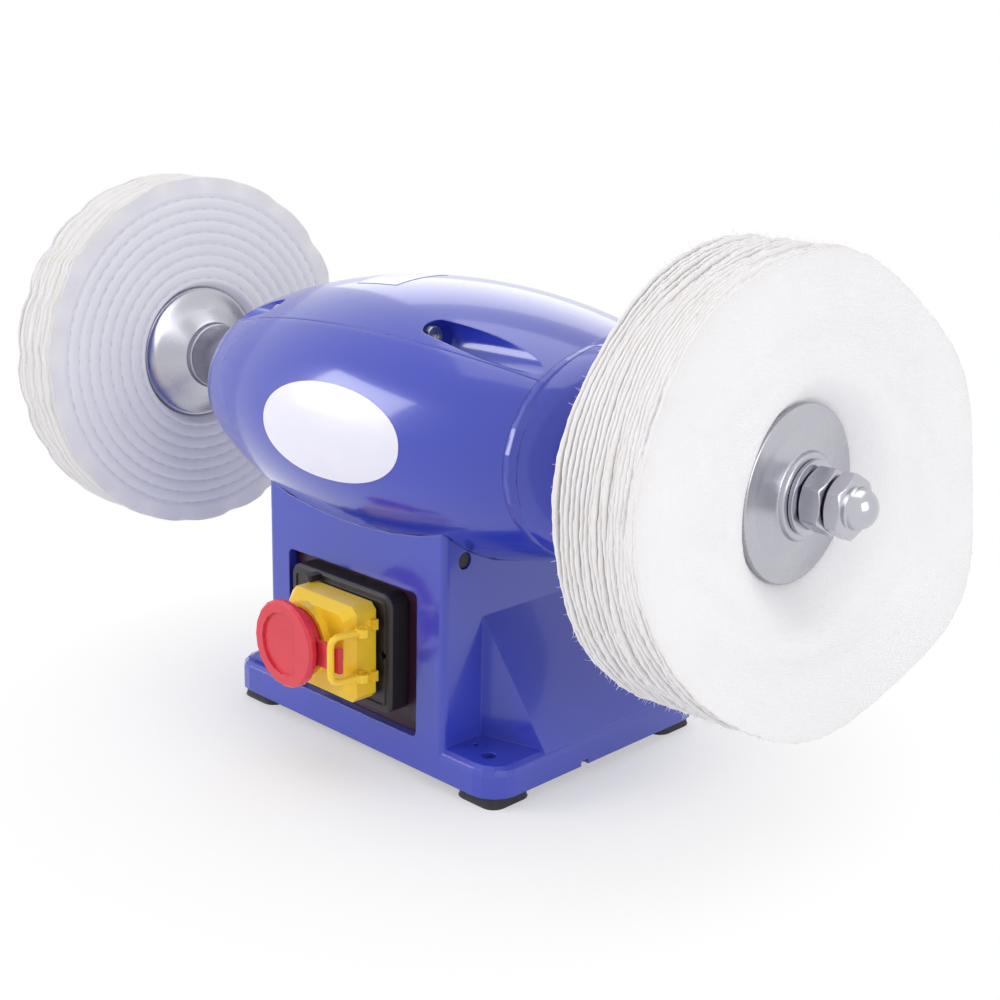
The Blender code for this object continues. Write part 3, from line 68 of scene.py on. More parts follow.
class Nodes:
    """A small helper to build a material's node tree."""

    def __init__(self, name):
        self.material = bpy.data.materials.new(name)
        self.material.use_nodes = True
        self.tree = self.material.node_tree
        self.shader = self.tree.nodes["Principled BSDF"]

    def link(self, out, into):
        self.tree.links.new(out, into)

    def math(self, operation, first, second=None, clamp=False):
        made = self.tree.nodes.new("ShaderNodeMath")
        made.operation = operation
        made.use_clamp = clamp
        for socket, value in zip(made.inputs, (first, second)):
            if value is None:
                continue
            if isinstance(value, (int, float)):
                socket.default_value = value
            else:
                self.link(value, socket)
        return made.outputs[0]

    def place(self):
        """Coordinates that stay with the piece."""
        return self.tree.nodes.new("ShaderNodeTexCoord").outputs["Object"]

    def noise(self, scale, detail=3.0, rough=0.55):
        made = self.tree.nodes.new("ShaderNodeTexNoise")
        made.inputs["Scale"].default_value = scale
        made.inputs["Detail"].default_value = detail
        made.inputs["Roughness"].default_value = rough
        self.link(self.place(), made.inputs["Vector"])
        return made.outputs["Fac"]

    def spread(self, value, low, high, start=0.0, end=1.0):
        made = self.tree.nodes.new("ShaderNodeMapRange")
        for name, number in (("From Min", start), ("From Max", end), ("To Min", low), ("To Max", high)):
            made.inputs[name].default_value = number
        self.link(value, made.inputs["Value"])
        return made.outputs["Result"]

    def mix(self, factor, first, second):
        made = self.tree.nodes.new("ShaderNodeMix")
        made.data_type = "RGBA"
        for socket, value in ((made.inputs[6], first), (made.inputs[7], second)):
            if isinstance(value, tuple):
                socket.default_value = (*value, 1.0)
            else:
                self.link(value, socket)
        if isinstance(factor, (int, float)):
            made.inputs[0].default_value = factor
        else:
            self.link(factor, made.inputs[0])
        return made.outputs[2]

    def bump(self, height, distance, strength=1.0, normal=None):
        made = self.tree.nodes.new("ShaderNodeBump")
        made.inputs["Distance"].default_value = distance
        made.inputs["Strength"].default_value = strength
        self.link(height, made.inputs["Height"])
        if normal is not None:
            self.link(normal, made.inputs["Normal"])
        return made.outputs["Normal"]

    def rounded(self, radius):
        """Normals that catch the light along hard edges."""
        made = self.tree.nodes.new("ShaderNodeBevel")
        made.samples = 6
        made.inputs["Radius"].default_value = radius
        return made.outputs["Normal"]

    def set(self, **values):
        for key, value in values.items():
            socket = self.shader.inputs[key.replace("_", " ")]
            if isinstance(value, bpy.types.NodeSocket):
                self.link(value, socket)
            elif isinstance(value, tuple):
                socket.default_value = (*value, 1.0)
            else:
                socket.default_value = value


def enamel(name, colour, deep, rough):
    n = Nodes(name)
    n.set(Base_Color=n.mix(n.spread(n.noise(8, 2), 0.0, 1.0, 0.35, 0.65), deep, colour),
          Roughness=n.spread(n.noise(14, 3), rough - 0.02, rough + 0.04, 0.3, 0.7),
          Coat_Weight=0.7, Coat_Roughness=0.08,
          Normal=n.bump(n.noise(60, 2), 0.00006, 0.3, n.rounded(0.0011)))
    return n.material


def plastic(name, colour, deep, rough, grain=900, depth=0.00003, edge=0.0005, coat=0.0):
    n = Nodes(name)
    cloud = n.noise(45, 3)
    n.set(Base_Color=n.mix(n.spread(cloud, 0.0, 1.0, 0.3, 0.7), deep, colour),
          Roughness=n.spread(n.noise(220, 3), rough - 0.05, rough + 0.08, 0.3, 0.7),
          Coat_Weight=coat, Coat_Roughness=0.12,
          Normal=n.bump(n.noise(grain, 2), depth, 0.6, n.rounded(edge)))
    return n.material


def metal(name, colour, deep, rough):
    n = Nodes(name)
    n.set(Base_Color=n.mix(n.noise(25, 2), deep, colour),
          Metallic=1.0,
          Roughness=n.spread(n.noise(60, 3), rough - 0.03, rough + 0.04, 0.3, 0.7),
          Normal=n.bump(n.noise(420, 3), 0.000008, 0.4, n.rounded(0.0003)))
    return n.material


def radius_from_shaft(n):
    parts = n.tree.nodes.new("ShaderNodeSeparateXYZ")
    n.link(n.place(), parts.inputs[0])
    up = n.math("SUBTRACT", parts.outputs["Z"], SHAFT_Z)
    squares = n.math("ADD", n.math("POWER", parts.outputs["Y"], 2.0), n.math("POWER", up, 2.0))
    return n.math("SQRT", squares), parts


def turned_metal(name, colour, deep, rough):
    """Zinc plate over fine turning marks that run round the shaft."""
    n = Nodes(name)
    radius, parts = radius_from_shaft(n)
    wobble = n.math("ADD", radius, n.math("MULTIPLY", parts.outputs["X"], 0.6))
    marks = n.math("SINE", n.math("MULTIPLY", wobble, 9000.0))
    n.set(Base_Color=n.mix(n.noise(20, 2), deep, colour),
          Metallic=1.0,
          Roughness=n.spread(n.noise(45, 3), rough - 0.03, rough + 0.04, 0.3, 0.7),
          Anisotropic=0.6,
          Normal=n.bump(marks, 0.000008, 0.3, n.rounded(0.0004)))
    return n.material


def cotton(name, colour, cream, weave, rim):
    """White sheeting: a plain weave, slubs, and creamier cut edges at the rim."""
    n = Nodes(name)
    radius, parts = radius_from_shaft(n)
    warp = n.math("SINE", n.math("MULTIPLY", parts.outputs["Y"], 2 * math.pi / weave))
    weft = n.math("SINE", n.math("MULTIPLY", parts.outputs["Z"], 2 * math.pi / weave))
    threads = n.math("ADD", warp, weft)
    slub = n.noise(180, 5, 0.7)
    edge = n.spread(radius, 0.0, 1.0, rim, BUFF_R + 0.001)
    blotch = n.math("MULTIPLY", edge, n.spread(n.noise(120, 4, 0.7), 0.2, 1.3, 0.35, 0.65), True)
    soft = n.mix(n.spread(n.noise(22, 4), 0.0, 1.0, 0.3, 0.7), colour, tuple(c * 0.965 for c in colour))
    n.set(Base_Color=n.mix(blotch, soft, cream),
          Roughness=n.spread(slub, 0.78, 0.94, 0.3, 0.7),
          Sheen_Weight=0.35, Sheen_Roughness=0.5, Specular_IOR_Level=0.2,
          Normal=n.bump(threads, 0.00004, 0.5, n.bump(slub, 0.0004, 0.4)))
    return n.material


BLUE = enamel("blue_enamel_paint", (0.034, 0.056, 0.50), (0.028, 0.048, 0.46), 0.22)
ZINC = metal("bright_zinc", (0.56, 0.56, 0.61), (0.46, 0.46, 0.51), 0.20)
TURNED = turned_metal("turned_zinc", (0.56, 0.56, 0.61), (0.44, 0.44, 0.49), 0.26)
STEEL = metal("ground_steel", (0.50, 0.50, 0.52), (0.43, 0.43, 0.45), 0.3)
LAMINATION = metal("lamination_stack", (0.22, 0.22, 0.24), (0.16, 0.16, 0.18), 0.5)
COPPER = metal("copper_wire", (0.55, 0.22, 0.09), (0.42, 0.15, 0.06), 0.35)
RUBBER = plastic("black_rubber_foot", (0.022, 0.022, 0.030), (0.016, 0.016, 0.022), 0.62, 500, 0.00008)
BLACK = plastic("black_moulding", (0.022, 0.018, 0.023), (0.015, 0.012, 0.017), 0.42, 1200, 0.00006)
PANEL = plastic("dark_panel_paint", (0.050, 0.006, 0.030), (0.026, 0.004, 0.018), 0.35)
YELLOW = plastic("yellow_moulding", (0.98, 0.66, 0.030), (0.96, 0.60, 0.024), 0.32, coat=0.15)
RED = plastic("red_moulding", (0.74, 0.040, 0.065), (0.66, 0.026, 0.050), 0.36, coat=0.15)
GREEN = plastic("green_moulding", (0.03, 0.36, 0.10), (0.02, 0.28, 0.07), 0.36)
GREY = plastic("grey_moulding", (0.45, 0.45, 0.46), (0.38, 0.38, 0.39), 0.5)
COTTON_SEWN = cotton("sewn_cotton", (0.93, 0.925, 0.95), (0.90, 0.875, 0.86), 0.0009, 0.088)
COTTON_LOOSE = cotton("loose_cotton_sheeting", (0.94, 0.93, 0.955), (0.90, 0.865, 0.845), 0.0009, 0.092)
THREAD = plastic("sewing_thread", (0.84, 0.83, 0.87), (0.70, 0.69, 0.74), 0.8, 2500, 0.0001)
LABEL = plastic("bare_label", (0.83, 0.82, 0.94), (0.80, 0.79, 0.92), 0.38, 700, 0.00001, 0.0001, 0.2)
STICKER = plastic("bare_sticker", (0.72, 0.74, 0.90), (0.68, 0.70, 0.88), 0.34, 700, 0.00001, 0.0001, 0.2)

LOOKS = {
    "blue_enamel": BLUE, "zinc_plate": ZINC, "turned_flange": TURNED, "shaft_steel": STEEL,
    "lamination_steel": LAMINATION, "copper_winding": COPPER, "black_rubber": RUBBER, "black_plastic": BLACK,
    "dark_panel": PANEL, "yellow_plastic": YELLOW, "red_plastic": RED, "green_plastic": GREEN,
    "grey_case": GREY, "stitched_cotton": COTTON_SEWN, "loose_cotton": COTTON_LOOSE,
}
NODE_SLOT = {part["node"]: part["material_slot"] for part in frame["record"]["subparts"]}
for name, node in nodes.items():
    node.data.materials.clear()
    node.data.materials.append(LOOKS[NODE_SLOT[name]])
    for face in node.data.polygons:
        face.use_smooth = True
    node.data.set_sharp_from_angle(angle=math.radians(32))


# Mesh helpers


def piece(name, points, faces, material, body, slot=None, replaces=(), angle=35):
    mesh = bpy.data.meshes.new(name)
    mesh.from_pydata([tuple(p) for p in points], [], [tuple(f) for f in faces])
    mesh.validate()
    return dress(bpy.data.objects.new(name, mesh), material, body, replaces, angle)


def face_outward(mesh, merge=0.0):
    """Joins doubled points where asked, and turns every face outwards."""
    bm = bmesh.new()
    bm.from_mesh(mesh)
    if merge:
        bmesh.ops.remove_doubles(bm, verts=bm.verts[:], dist=merge)
    bmesh.ops.recalc_face_normals(bm, faces=bm.faces[:])
    bm.to_mesh(mesh)
    bm.free()


def dress(obj, material, body, replaces=(), angle=35):
    """Links an object, smooths it, ties it to its body and hides the nodes it stands for."""
    if obj.name not in bpy.context.scene.collection.objects:
        bpy.context.scene.collection.objects.link(obj)
    mesh = obj.data
    face_outward(mesh)
    mesh.materials.clear()
    mesh.materials.append(material)
    mesh.polygons.foreach_set("use_smooth", [True] * len(mesh.polygons))
    mesh.set_sharp_from_angle(angle=math.radians(angle))
    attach(obj, body)
    if replaces:
        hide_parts(*replaces)
    return obj


def grid_faces(rows, columns, closed_rows=True, offset=0):
    """Quads between rows of points, each row closed into a ring."""
    faces = []
    for i in range(rows if closed_rows else rows - 1):
        j = (i + 1) % rows
        for k in range(columns):
            m = (k + 1) % columns
            faces.append((offset + i * columns + k, offset + i * columns + m,
                          offset + j * columns + m, offset + j * columns + k))
    return faces


def rounded(profile, fillets, steps=3):
    """A closed outline of (x, r) points with its corners rounded by the fillet of each."""
    made = []
    count = len(profile)
    for k in range(count):
        before, here, after = (Vector(profile[(k + j) % count]) for j in (-1, 0, 1))
        fillet = fillets[k] if isinstance(fillets, (list, tuple)) else fillets
        a, b = before - here, after - here
        if fillet <= 0 or a.length < 1e-9 or b.length < 1e-9:
            made.append(tuple(here))
            continue
        reach = min(fillet, a.length * 0.45, b.length * 0.45)
        p, q = here + a.normalized() * reach, here + b.normalized() * reach
        for step in range(steps + 1):
            t = step / steps
            made.append(tuple(p * (1 - t) ** 2 + here * 2 * t * (1 - t) + q * t ** 2))
    return made


def polar(x, radius, turn):
    """A point beside the shaft's line, at a radius and a turn round it."""
    return (x, radius * math.cos(turn), SHAFT_Z + radius * math.sin(turn))


def lathe(name, profile, material, body, steps=96, **more):
    """A closed profile of (x, r) points turned round the shaft's line."""
    points = [polar(x, r, 2 * math.pi * k / steps) for x, r in profile for k in range(steps)]
    return piece(name, points, grid_faces(len(profile), steps), material, body, **more)


def boolean(target, tool, operation):
    change = target.modifiers.new("cut", "BOOLEAN")
    change.operation, change.solver, change.object = operation, "EXACT", tool
    graph = bpy.context.evaluated_depsgraph_get()
    graph.update()
    mesh = bpy.data.meshes.new_from_object(target.evaluated_get(graph))
    target.modifiers.clear()
    target.data = mesh
    bpy.data.objects.remove(tool)
    return target


def solid(name, rings):
    """A loft through closed rings of points with flat ends, linked but not dressed."""
    count = len(rings[0])
    points = [p for ring in rings for p in ring]
    faces = grid_faces(len(rings), count, False)
    faces.append(tuple(range(count))[::-1])
    faces.append(tuple(len(points) - count + k for k in range(count)))
    mesh = bpy.data.meshes.new(name)
    mesh.from_pydata([tuple(p) for p in points], [], faces)
    face_outward(mesh)
    made = bpy.data.objects.new(name, mesh)
    bpy.context.scene.collection.objects.link(made)
    return made


def circle(x, centre, radius):
    """A ring of 48 points round a line that runs along the shaft."""
    y0, z0 = centre
    turns = [2 * math.pi * k / 48 for k in range(48)]
    return [(x, y0 + radius * math.cos(turn), z0 + radius * math.sin(turn)) for turn in turns]


def cylinder_x(name, centre, radius, start, end):
    return solid(name, [circle(x, centre, radius) for x in (min(start, end), max(start, end))])


# The oval barrel, on the CAD model's own section and taper.
HALF_DEPTH, HALF_HEIGHT, CREST, RISE = 0.089, 0.065, 0.063, 0.0015
BARREL_LEFT, BARREL_RIGHT, WALL, GAP = -0.118, 0.100, 0.004, 0.0003
CREASE = math.radians(45)
ACROSS, UP = HALF_DEPTH * math.cos(CREASE), HALF_HEIGHT * math.sin(CREASE)
LOW = (CREST ** 2 - ACROSS ** 2 - UP ** 2) / (2 * (CREST - UP))
CREST_RADIUS = CREST - LOW
SEAM_LIP = 0.00025


def taper(x):
    reach = abs(x) / 0.1
    return 1 - 0.221 * reach ** 2 - 0.011 * reach ** 4


def crest_arc(steps):
    half = math.atan2(ACROSS, UP - LOW)
    turns = [half * (1 - 2 * k / steps) for k in range(steps + 1)]
    return [(CREST_RADIUS * math.sin(t), LOW + CREST_RADIUS * math.cos(t)) for t in turns]


def belly_arc(steps):
    sweep = math.pi + 2 * CREASE
    turns = [math.pi - CREASE + sweep * k / steps for k in range(steps + 1)]
    return [(HALF_DEPTH * math.cos(t), HALF_HEIGHT * math.sin(t)) for t in turns]


def barrel_point(y, z, x, grow=0.0):
    share = taper(x)
    out = Vector((y / HALF_DEPTH ** 2, z / HALF_HEIGHT ** 2)).normalized()
    return Vector((x, y * share + out.x * grow, SHAFT_Z + RISE + z * share + out.y * grow))


def stations(count=72):
    return [BARREL_LEFT + (BARREL_RIGHT - BARREL_LEFT) * k / count for k in range(count + 1)]


def shell(name, arc, slide):
    """A wall over one arc of the section, with a small rounded lip along each seam."""
    rings = []
    for x in stations():
        outer = [barrel_point(y, z, x) for y, z in arc]
        inner = [barrel_point(y, z, x, -WALL) for y, z in arc]
        for ring in (outer, inner):
            ring[0] = ring[0] + slide
            ring[-1] = ring[-1] + Vector((0, -slide.y, slide.z))
        first = (inner[0] - outer[0]).normalized() * SEAM_LIP
        last = (inner[-1] - outer[-1]).normalized() * SEAM_LIP
        start = outer[0] + (outer[1] - outer[0]).normalized() * SEAM_LIP
        end = outer[-1] + (outer[-2] - outer[-1]).normalized() * SEAM_LIP
        edge_a = [outer[0] + first, outer[0] + first * 0.25 + (start - outer[0]) * 0.25, start]
        edge_b = [end, outer[-1] + last * 0.25 + (end - outer[-1]) * 0.25, outer[-1] + last]
        rings.append(edge_a + outer[1:-1] + edge_b + inner[::-1])
    return solid(name, rings)


def pocket_places():
    """The head, centre line and way out of each of the four screw pockets."""
    places = []
    for head, reach in ((0.033, 0.0658), (-0.079, 0.0570)):
        turn = math.atan2(UP, ACROSS) + math.asin(0.0085 / reach)
        for sign in (-1, 1):
            centre = (sign * reach * math.cos(turn), SHAFT_Z + RISE + reach * math.sin(turn))
            places.append((head, centre, 1 if head > 0 else -1))
    return places


POCKET_R, POCKET_WALL_R = 0.0078, 0.0094
POCKET_DEPTH_PAST_SEAT, POCKET_OVERRUN = 0.0014, 0.01


def pocket_bore(head, end, centre):
    """A round-ended bore from a pocket's head out past the end of the shell."""
    way = 1 if end > head else -1
    start = head - way * POCKET_DEPTH_PAST_SEAT
    angles = [math.radians(6 + 84 * k / 12) for k in range(13)]
    stops = [(start + way * POCKET_R * (1 - math.cos(a)), POCKET_R * math.sin(a)) for a in angles]
    stops.append((end + way * POCKET_OVERRUN, POCKET_R))
    return solid("bore", [circle(x, centre, r) for x, r in stops])


def make_barrel():
    seam = Vector((0, UP, ACROSS)).normalized() * GAP * 0.3
    upper = shell("upper_shell_casting", crest_arc(72), Vector((0, -seam.y, seam.z)))
    lower = shell("lower_shell_casting", belly_arc(120), Vector((0, 0, 0)))
    whole = crest_arc(72)[:-1] + belly_arc(120)[:-1]
    for head, centre, way in pocket_places():
        end = BARREL_RIGHT if way > 0 else BARREL_LEFT
        boss = cylinder_x("boss", centre, POCKET_WALL_R, head - way * 0.008, end - way * 0.0006)
        trim = solid("trim", [[barrel_point(y, z, x, -0.002) for y, z in whole] for x in stations(36)])
        boss = boolean(boss, trim, "INTERSECT")
        upper = boolean(upper, boss, "UNION")
    for head, centre, way in pocket_places():
        end = BARREL_RIGHT if way > 0 else BARREL_LEFT
        upper = boolean(upper, pocket_bore(head, end, centre), "DIFFERENCE")
    dress(upper, BLUE, "stand", ("upper_shell",), 28)
    dress(lower, BLUE, "stand", ("lower_shell",), 28)
    bell_skin(whole)


def bell_skin(section):
    """The right bell's outside: from the shells' end it rounds over to the bearing's round collar."""
    start, end, rim, hole, thick = BARREL_RIGHT + 0.0001, 0.1168, 0.0478, 0.0215, 0.0008
    collar_start, collar_drop, face = 0.0515, 0.0037, 0.0015
    outline = [barrel_point(y, z, BARREL_RIGHT) - Vector((BARREL_RIGHT, 0, SHAFT_Z)) for y, z in section]

    def ring_at(x, inward=0.0):
        """The barrel's outline blended to a circle, and never inside the collar."""
        run = (x - start) / (end - start)
        share = 0.42 * run + 0.58 * run ** 3
        collar = 0.0 if run <= 0 else collar_start - collar_drop * run
        ring = []
        for out in outline:
            away = out.normalized()
            reach = max(out.length * (1 - share) + rim * share, collar) - inward
            ring.append(Vector((x, away.y * reach, SHAFT_Z + away.z * reach)))
        return ring

    def round_ring(past, radius):
        away = [out.normalized() for out in outline]
        return [Vector((end + past, a.y * radius, SHAFT_Z + a.z * radius)) for a in away]

    first = start + 0.0002
    stops = [start, first] + [first + (end - first) * k / 12 for k in range(1, 13)]
    rings = [ring_at(x) for x in stops]
    for past, radius in ((0.0008, rim - 0.0006), (0.0013, rim - 0.0020), (face, rim - 0.0040), (face, hole),
                         (face - 0.0006, hole), (face - 0.0008, rim - 0.0042)):
        rings.append(round_ring(past, radius))
    rings += [ring_at(x, thick) for x in stops[::-1]]
    piece("right_bell_skin", [p for ring in rings for p in ring], grid_faces(len(rings), len(section)),
          BLUE, "stand", slot="blue_enamel", angle=28)


def patch(name, outline, on_belly, lift, thick, material):
    """A thin bare label on the barrel: outline gives (x, angle) points round its edge."""
    rings = 10
    cx = sum(p[0] for p in outline) / len(outline)
    ca = sum(p[1] for p in outline) / len(outline)
    points = []
    for level in (lift + thick, lift):
        for ring in range(rings + 1):
            share = 1 - ring / rings
            for x, a in outline:
                px, pa = cx + (x - cx) * share, ca + (a - ca) * share
                if on_belly:
                    y, z = HALF_DEPTH * math.cos(pa), HALF_HEIGHT * math.sin(pa)
                else:
                    y, z = CREST_RADIUS * math.sin(pa), LOW + CREST_RADIUS * math.cos(pa)
                points.append(barrel_point(y, z, px, level))
    count = len(outline)
    faces = grid_faces(rings + 1, count, False)
    faces += grid_faces(rings + 1, count, False, (rings + 1) * count)
    for k in range(count):
        m = (k + 1) % count
        faces.append((k, m, (rings + 1) * count + m, (rings + 1) * count + k))
    made = piece(name, points, faces, material, "stand", angle=40)
    face_outward(made.data, merge=1e-6)


def make_labels():
    centre_x, centre_z, half_length, half_height = 0.0085, 0.1565, 0.0445, 0.0228
    belly_radius, power = 0.068, 0.92
    middle = math.pi - math.asin((centre_z - SHAFT_Z - RISE) / HALF_HEIGHT)
    oval = []
    for k in range(96):
        t = 2 * math.pi * k / 96
        c, s = math.cos(t), math.sin(t)
        x = half_length * math.copysign(abs(c) ** power, c)
        up = half_height * math.copysign(abs(s) ** power, s)
        oval.append((centre_x + x, middle - up / belly_radius))
    patch("bare_oval_label", oval, True, 0.00005, 0.00025, LABEL)
    corners = [(-0.043, -0.025), (-0.014, -0.025), (-0.014, 0.009), (-0.043, 0.009)]
    square = []
    for k in range(4):
        here, after = corners[k], corners[(k + 1) % 4]
        for step in range(8):
            t = step / 8
            y = here[1] + (after[1] - here[1]) * t
            square.append((here[0] + (after[0] - here[0]) * t, y / CREST_RADIUS))
    patch("bare_top_sticker", square, False, 0.00005, 0.0002, STICKER)


# Flanges, washers, nuts and spacers.
WASHER_BORE, WASHER_R, WASHER_THICK = 0.0086, 0.0155, 0.002
NUT_HALF_FLAT, NUT_LENGTH, DOMED_NUT_LENGTH, NUT_GAP = 0.012, 0.010, 0.0075, 0.0012
DOME_RISE, DOME_R, DOME_TIP_R = 0.0085, 0.0085, 0.00002
SPACER_BORE, SPACER_R = 0.0103, 0.0175


def flange(name, face, way, rise, node):
    """A dished cone whose rim is pressed on the buff; the cone's side is slightly hollow."""
    outline = [(face + way * DISH, BORE), (face + way * DISH, FLANGE_HUB_R), (face, FLANGE_R - FLANGE_RIM),
               (face, FLANGE_R), (face + way * FLANGE_RIM, FLANGE_R)]
    fillets = [0.0, 0.002, 0.0004, 0.0009, 0.0009]
    run = rise - FLANGE_RIM - min(0.004, rise / 3)
    drop = FLANGE_R - FLANGE_RIM / 2 - FLANGE_HUB_R
    for k in range(13):
        share = k / 12
        outline.append((face + way * (FLANGE_RIM + run * share ** 1.25), FLANGE_HUB_R + drop * (1 - share)))
        fillets.append(0.0004 if k in (0, 12) else 0.0)
    outline += [(face + way * rise, FLANGE_HUB_R - 0.0006), (face + way * rise, BORE)]
    fillets += [0.0008, 0.0005]
    lathe(name, rounded(outline, fillets), TURNED, "spindle", 128, slot="turned_flange", replaces=(node,))


def nut(name, start, way, length, inner, node, dome=0.0):
    """A hexagon with its corners turned off at both ends, and a dome on the acorn nut."""
    flat = NUT_HALF_FLAT
    steps = 144
    rows = []
    corner_cut = math.tan(math.radians(30))
    for k in range(steps):
        turn = 2 * math.pi * k / steps
        part = (turn + math.pi / 6) % (math.pi / 3) - math.pi / 6
        hexagon = min(flat / math.cos(part), flat / math.cos(math.pi / 6) - 0.0003)
        slope = max(0.0, (hexagon - flat * 0.985) * corner_cut)
        profile = [(start, inner), (start, flat * 0.93), (start + way * 0.0002, flat * 0.985),
                   (start + way * (slope + 0.0003), hexagon)]
        end = start + way * length
        profile += [(end - way * (slope + 0.0003), hexagon), (end - way * 0.0002, flat * 0.985)]
        if dome:
            profile += [(end, flat * 0.9), (end, 0.0089), (end + way * 0.0003, 0.0086)]
            for step in range(13):
                a = math.pi / 2 * step / 12
                profile.append((end + way * dome * (0.06 + 0.94 * math.sin(a)),
                                max(DOME_R * math.cos(a) ** 0.9, DOME_TIP_R)))
            profile.append((start + way * 0.002, DOME_TIP_R))
            profile.append((start + way * 0.002, inner))
        else:
            profile += [(end, flat * 0.93), (end, inner)]
        rows.append([polar(x, r, turn) for x, r in profile])
    points = [p for row in rows for p in row]
    piece(name, points, grid_faces(steps, len(rows[0])), ZINC, "spindle", slot="zinc_plate", replaces=(node,),
          angle=24)


def make_hardware():
    for side, way, inner_face, outer_face in (("left", -1, LEFT_INNER, LEFT_OUTER),
                                              ("right", 1, RIGHT_INNER, RIGHT_OUTER)):
        flange(f"inner_cone_{side}", inner_face, -way, TALL_RISE, f"inner_flange_{side}")
        flange(f"outer_cone_{side}", outer_face, way, FLAT_RISE, f"outer_flange_{side}")
        end = outer_face + way * FLAT_RISE
        seat = end + way * GAP
        outside = seat + way * WASHER_THICK
        washer = [(seat, WASHER_BORE), (seat, WASHER_R), (outside, WASHER_R), (outside, WASHER_BORE)]
        lathe(f"washer_disc_{side}", rounded(washer, 0.0003), ZINC, "spindle", 96, slot="zinc_plate",
              replaces=(f"washer_{side}",))
        start = seat + way * (WASHER_THICK + GAP)
        nut(f"hexagon_nut_{side}", start, way, NUT_LENGTH, BORE, f"hex_nut_{side}")
        nut(f"domed_nut_{side}", start + way * (NUT_LENGTH + NUT_GAP), way, DOMED_NUT_LENGTH, BORE,
            f"acorn_nut_{side}", DOME_RISE)
        low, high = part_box(f"spacer_{side}")
        tube = [(low.x, SPACER_BORE), (low.x, SPACER_R), (high.x, SPACER_R), (high.x, SPACER_BORE)]
        lathe(f"spacer_tube_{side}", rounded(tube, 0.0006), ZINC, "spindle", 96, slot="zinc_plate",
              replaces=(f"spacer_{side}",))


# Buffs


def waves(turn, seed, count, low, high):
    """A sum of sines that closes round the rim, the same for each seed."""
    draw = random.Random(seed)
    total = 0.0
    for _ in range(count):
        frequency = draw.randint(low, high)
        total += math.sin(frequency * turn + draw.uniform(0, 2 * math.pi)) * draw.uniform(0.4, 1.0)
    return total / count


def strands(name, roots, material, body, slot, seed):
    """Frayed ends: short thin curls that start at the given points and directions."""
    draw = random.Random(seed)
    points, faces = [], []
    for root, out, length, width in roots:
        aside = Vector((draw.uniform(-1, 1), draw.uniform(-1, 1), draw.uniform(-1, 1)))
        side = out.cross(aside).normalized()
        bend = side * draw.uniform(-0.7, 0.7) * length
        sections = 5
        start = len(points)
        for step in range(sections):
            t = step / (sections - 1)
            middle = root + out * length * t + bend * t * t
            thick = width * (1 - 0.55 * t)
            for corner in range(3):
                a = 2 * math.pi * corner / 3
                points.append(middle + (side * math.cos(a) + out.cross(side) * math.sin(a)) * thick)
        for step in range(sections - 1):
            for corner in range(3):
                n = (corner + 1) % 3
                a = start + step * 3
                faces.append((a + corner, a + n, a + 3 + n, a + 3 + corner))
        faces.append((start, start + 2, start + 1))
        last = start + (sections - 1) * 3
        faces.append((last, last + 1, last + 2))
    piece(name, points, faces, material, body, slot=slot, angle=60)


STITCH_ROWS, STITCH_PITCH, STITCH_HALF, THREAD_HALF = 8, 0.0078, 0.0021, 0.00024
FIRST_ROW, LAST_ROW = FLANGE_R + 0.006, BUFF_R - 0.012
QUILT_DEPTH, CLOTH_SET_BACK = 0.0011, 0.0006


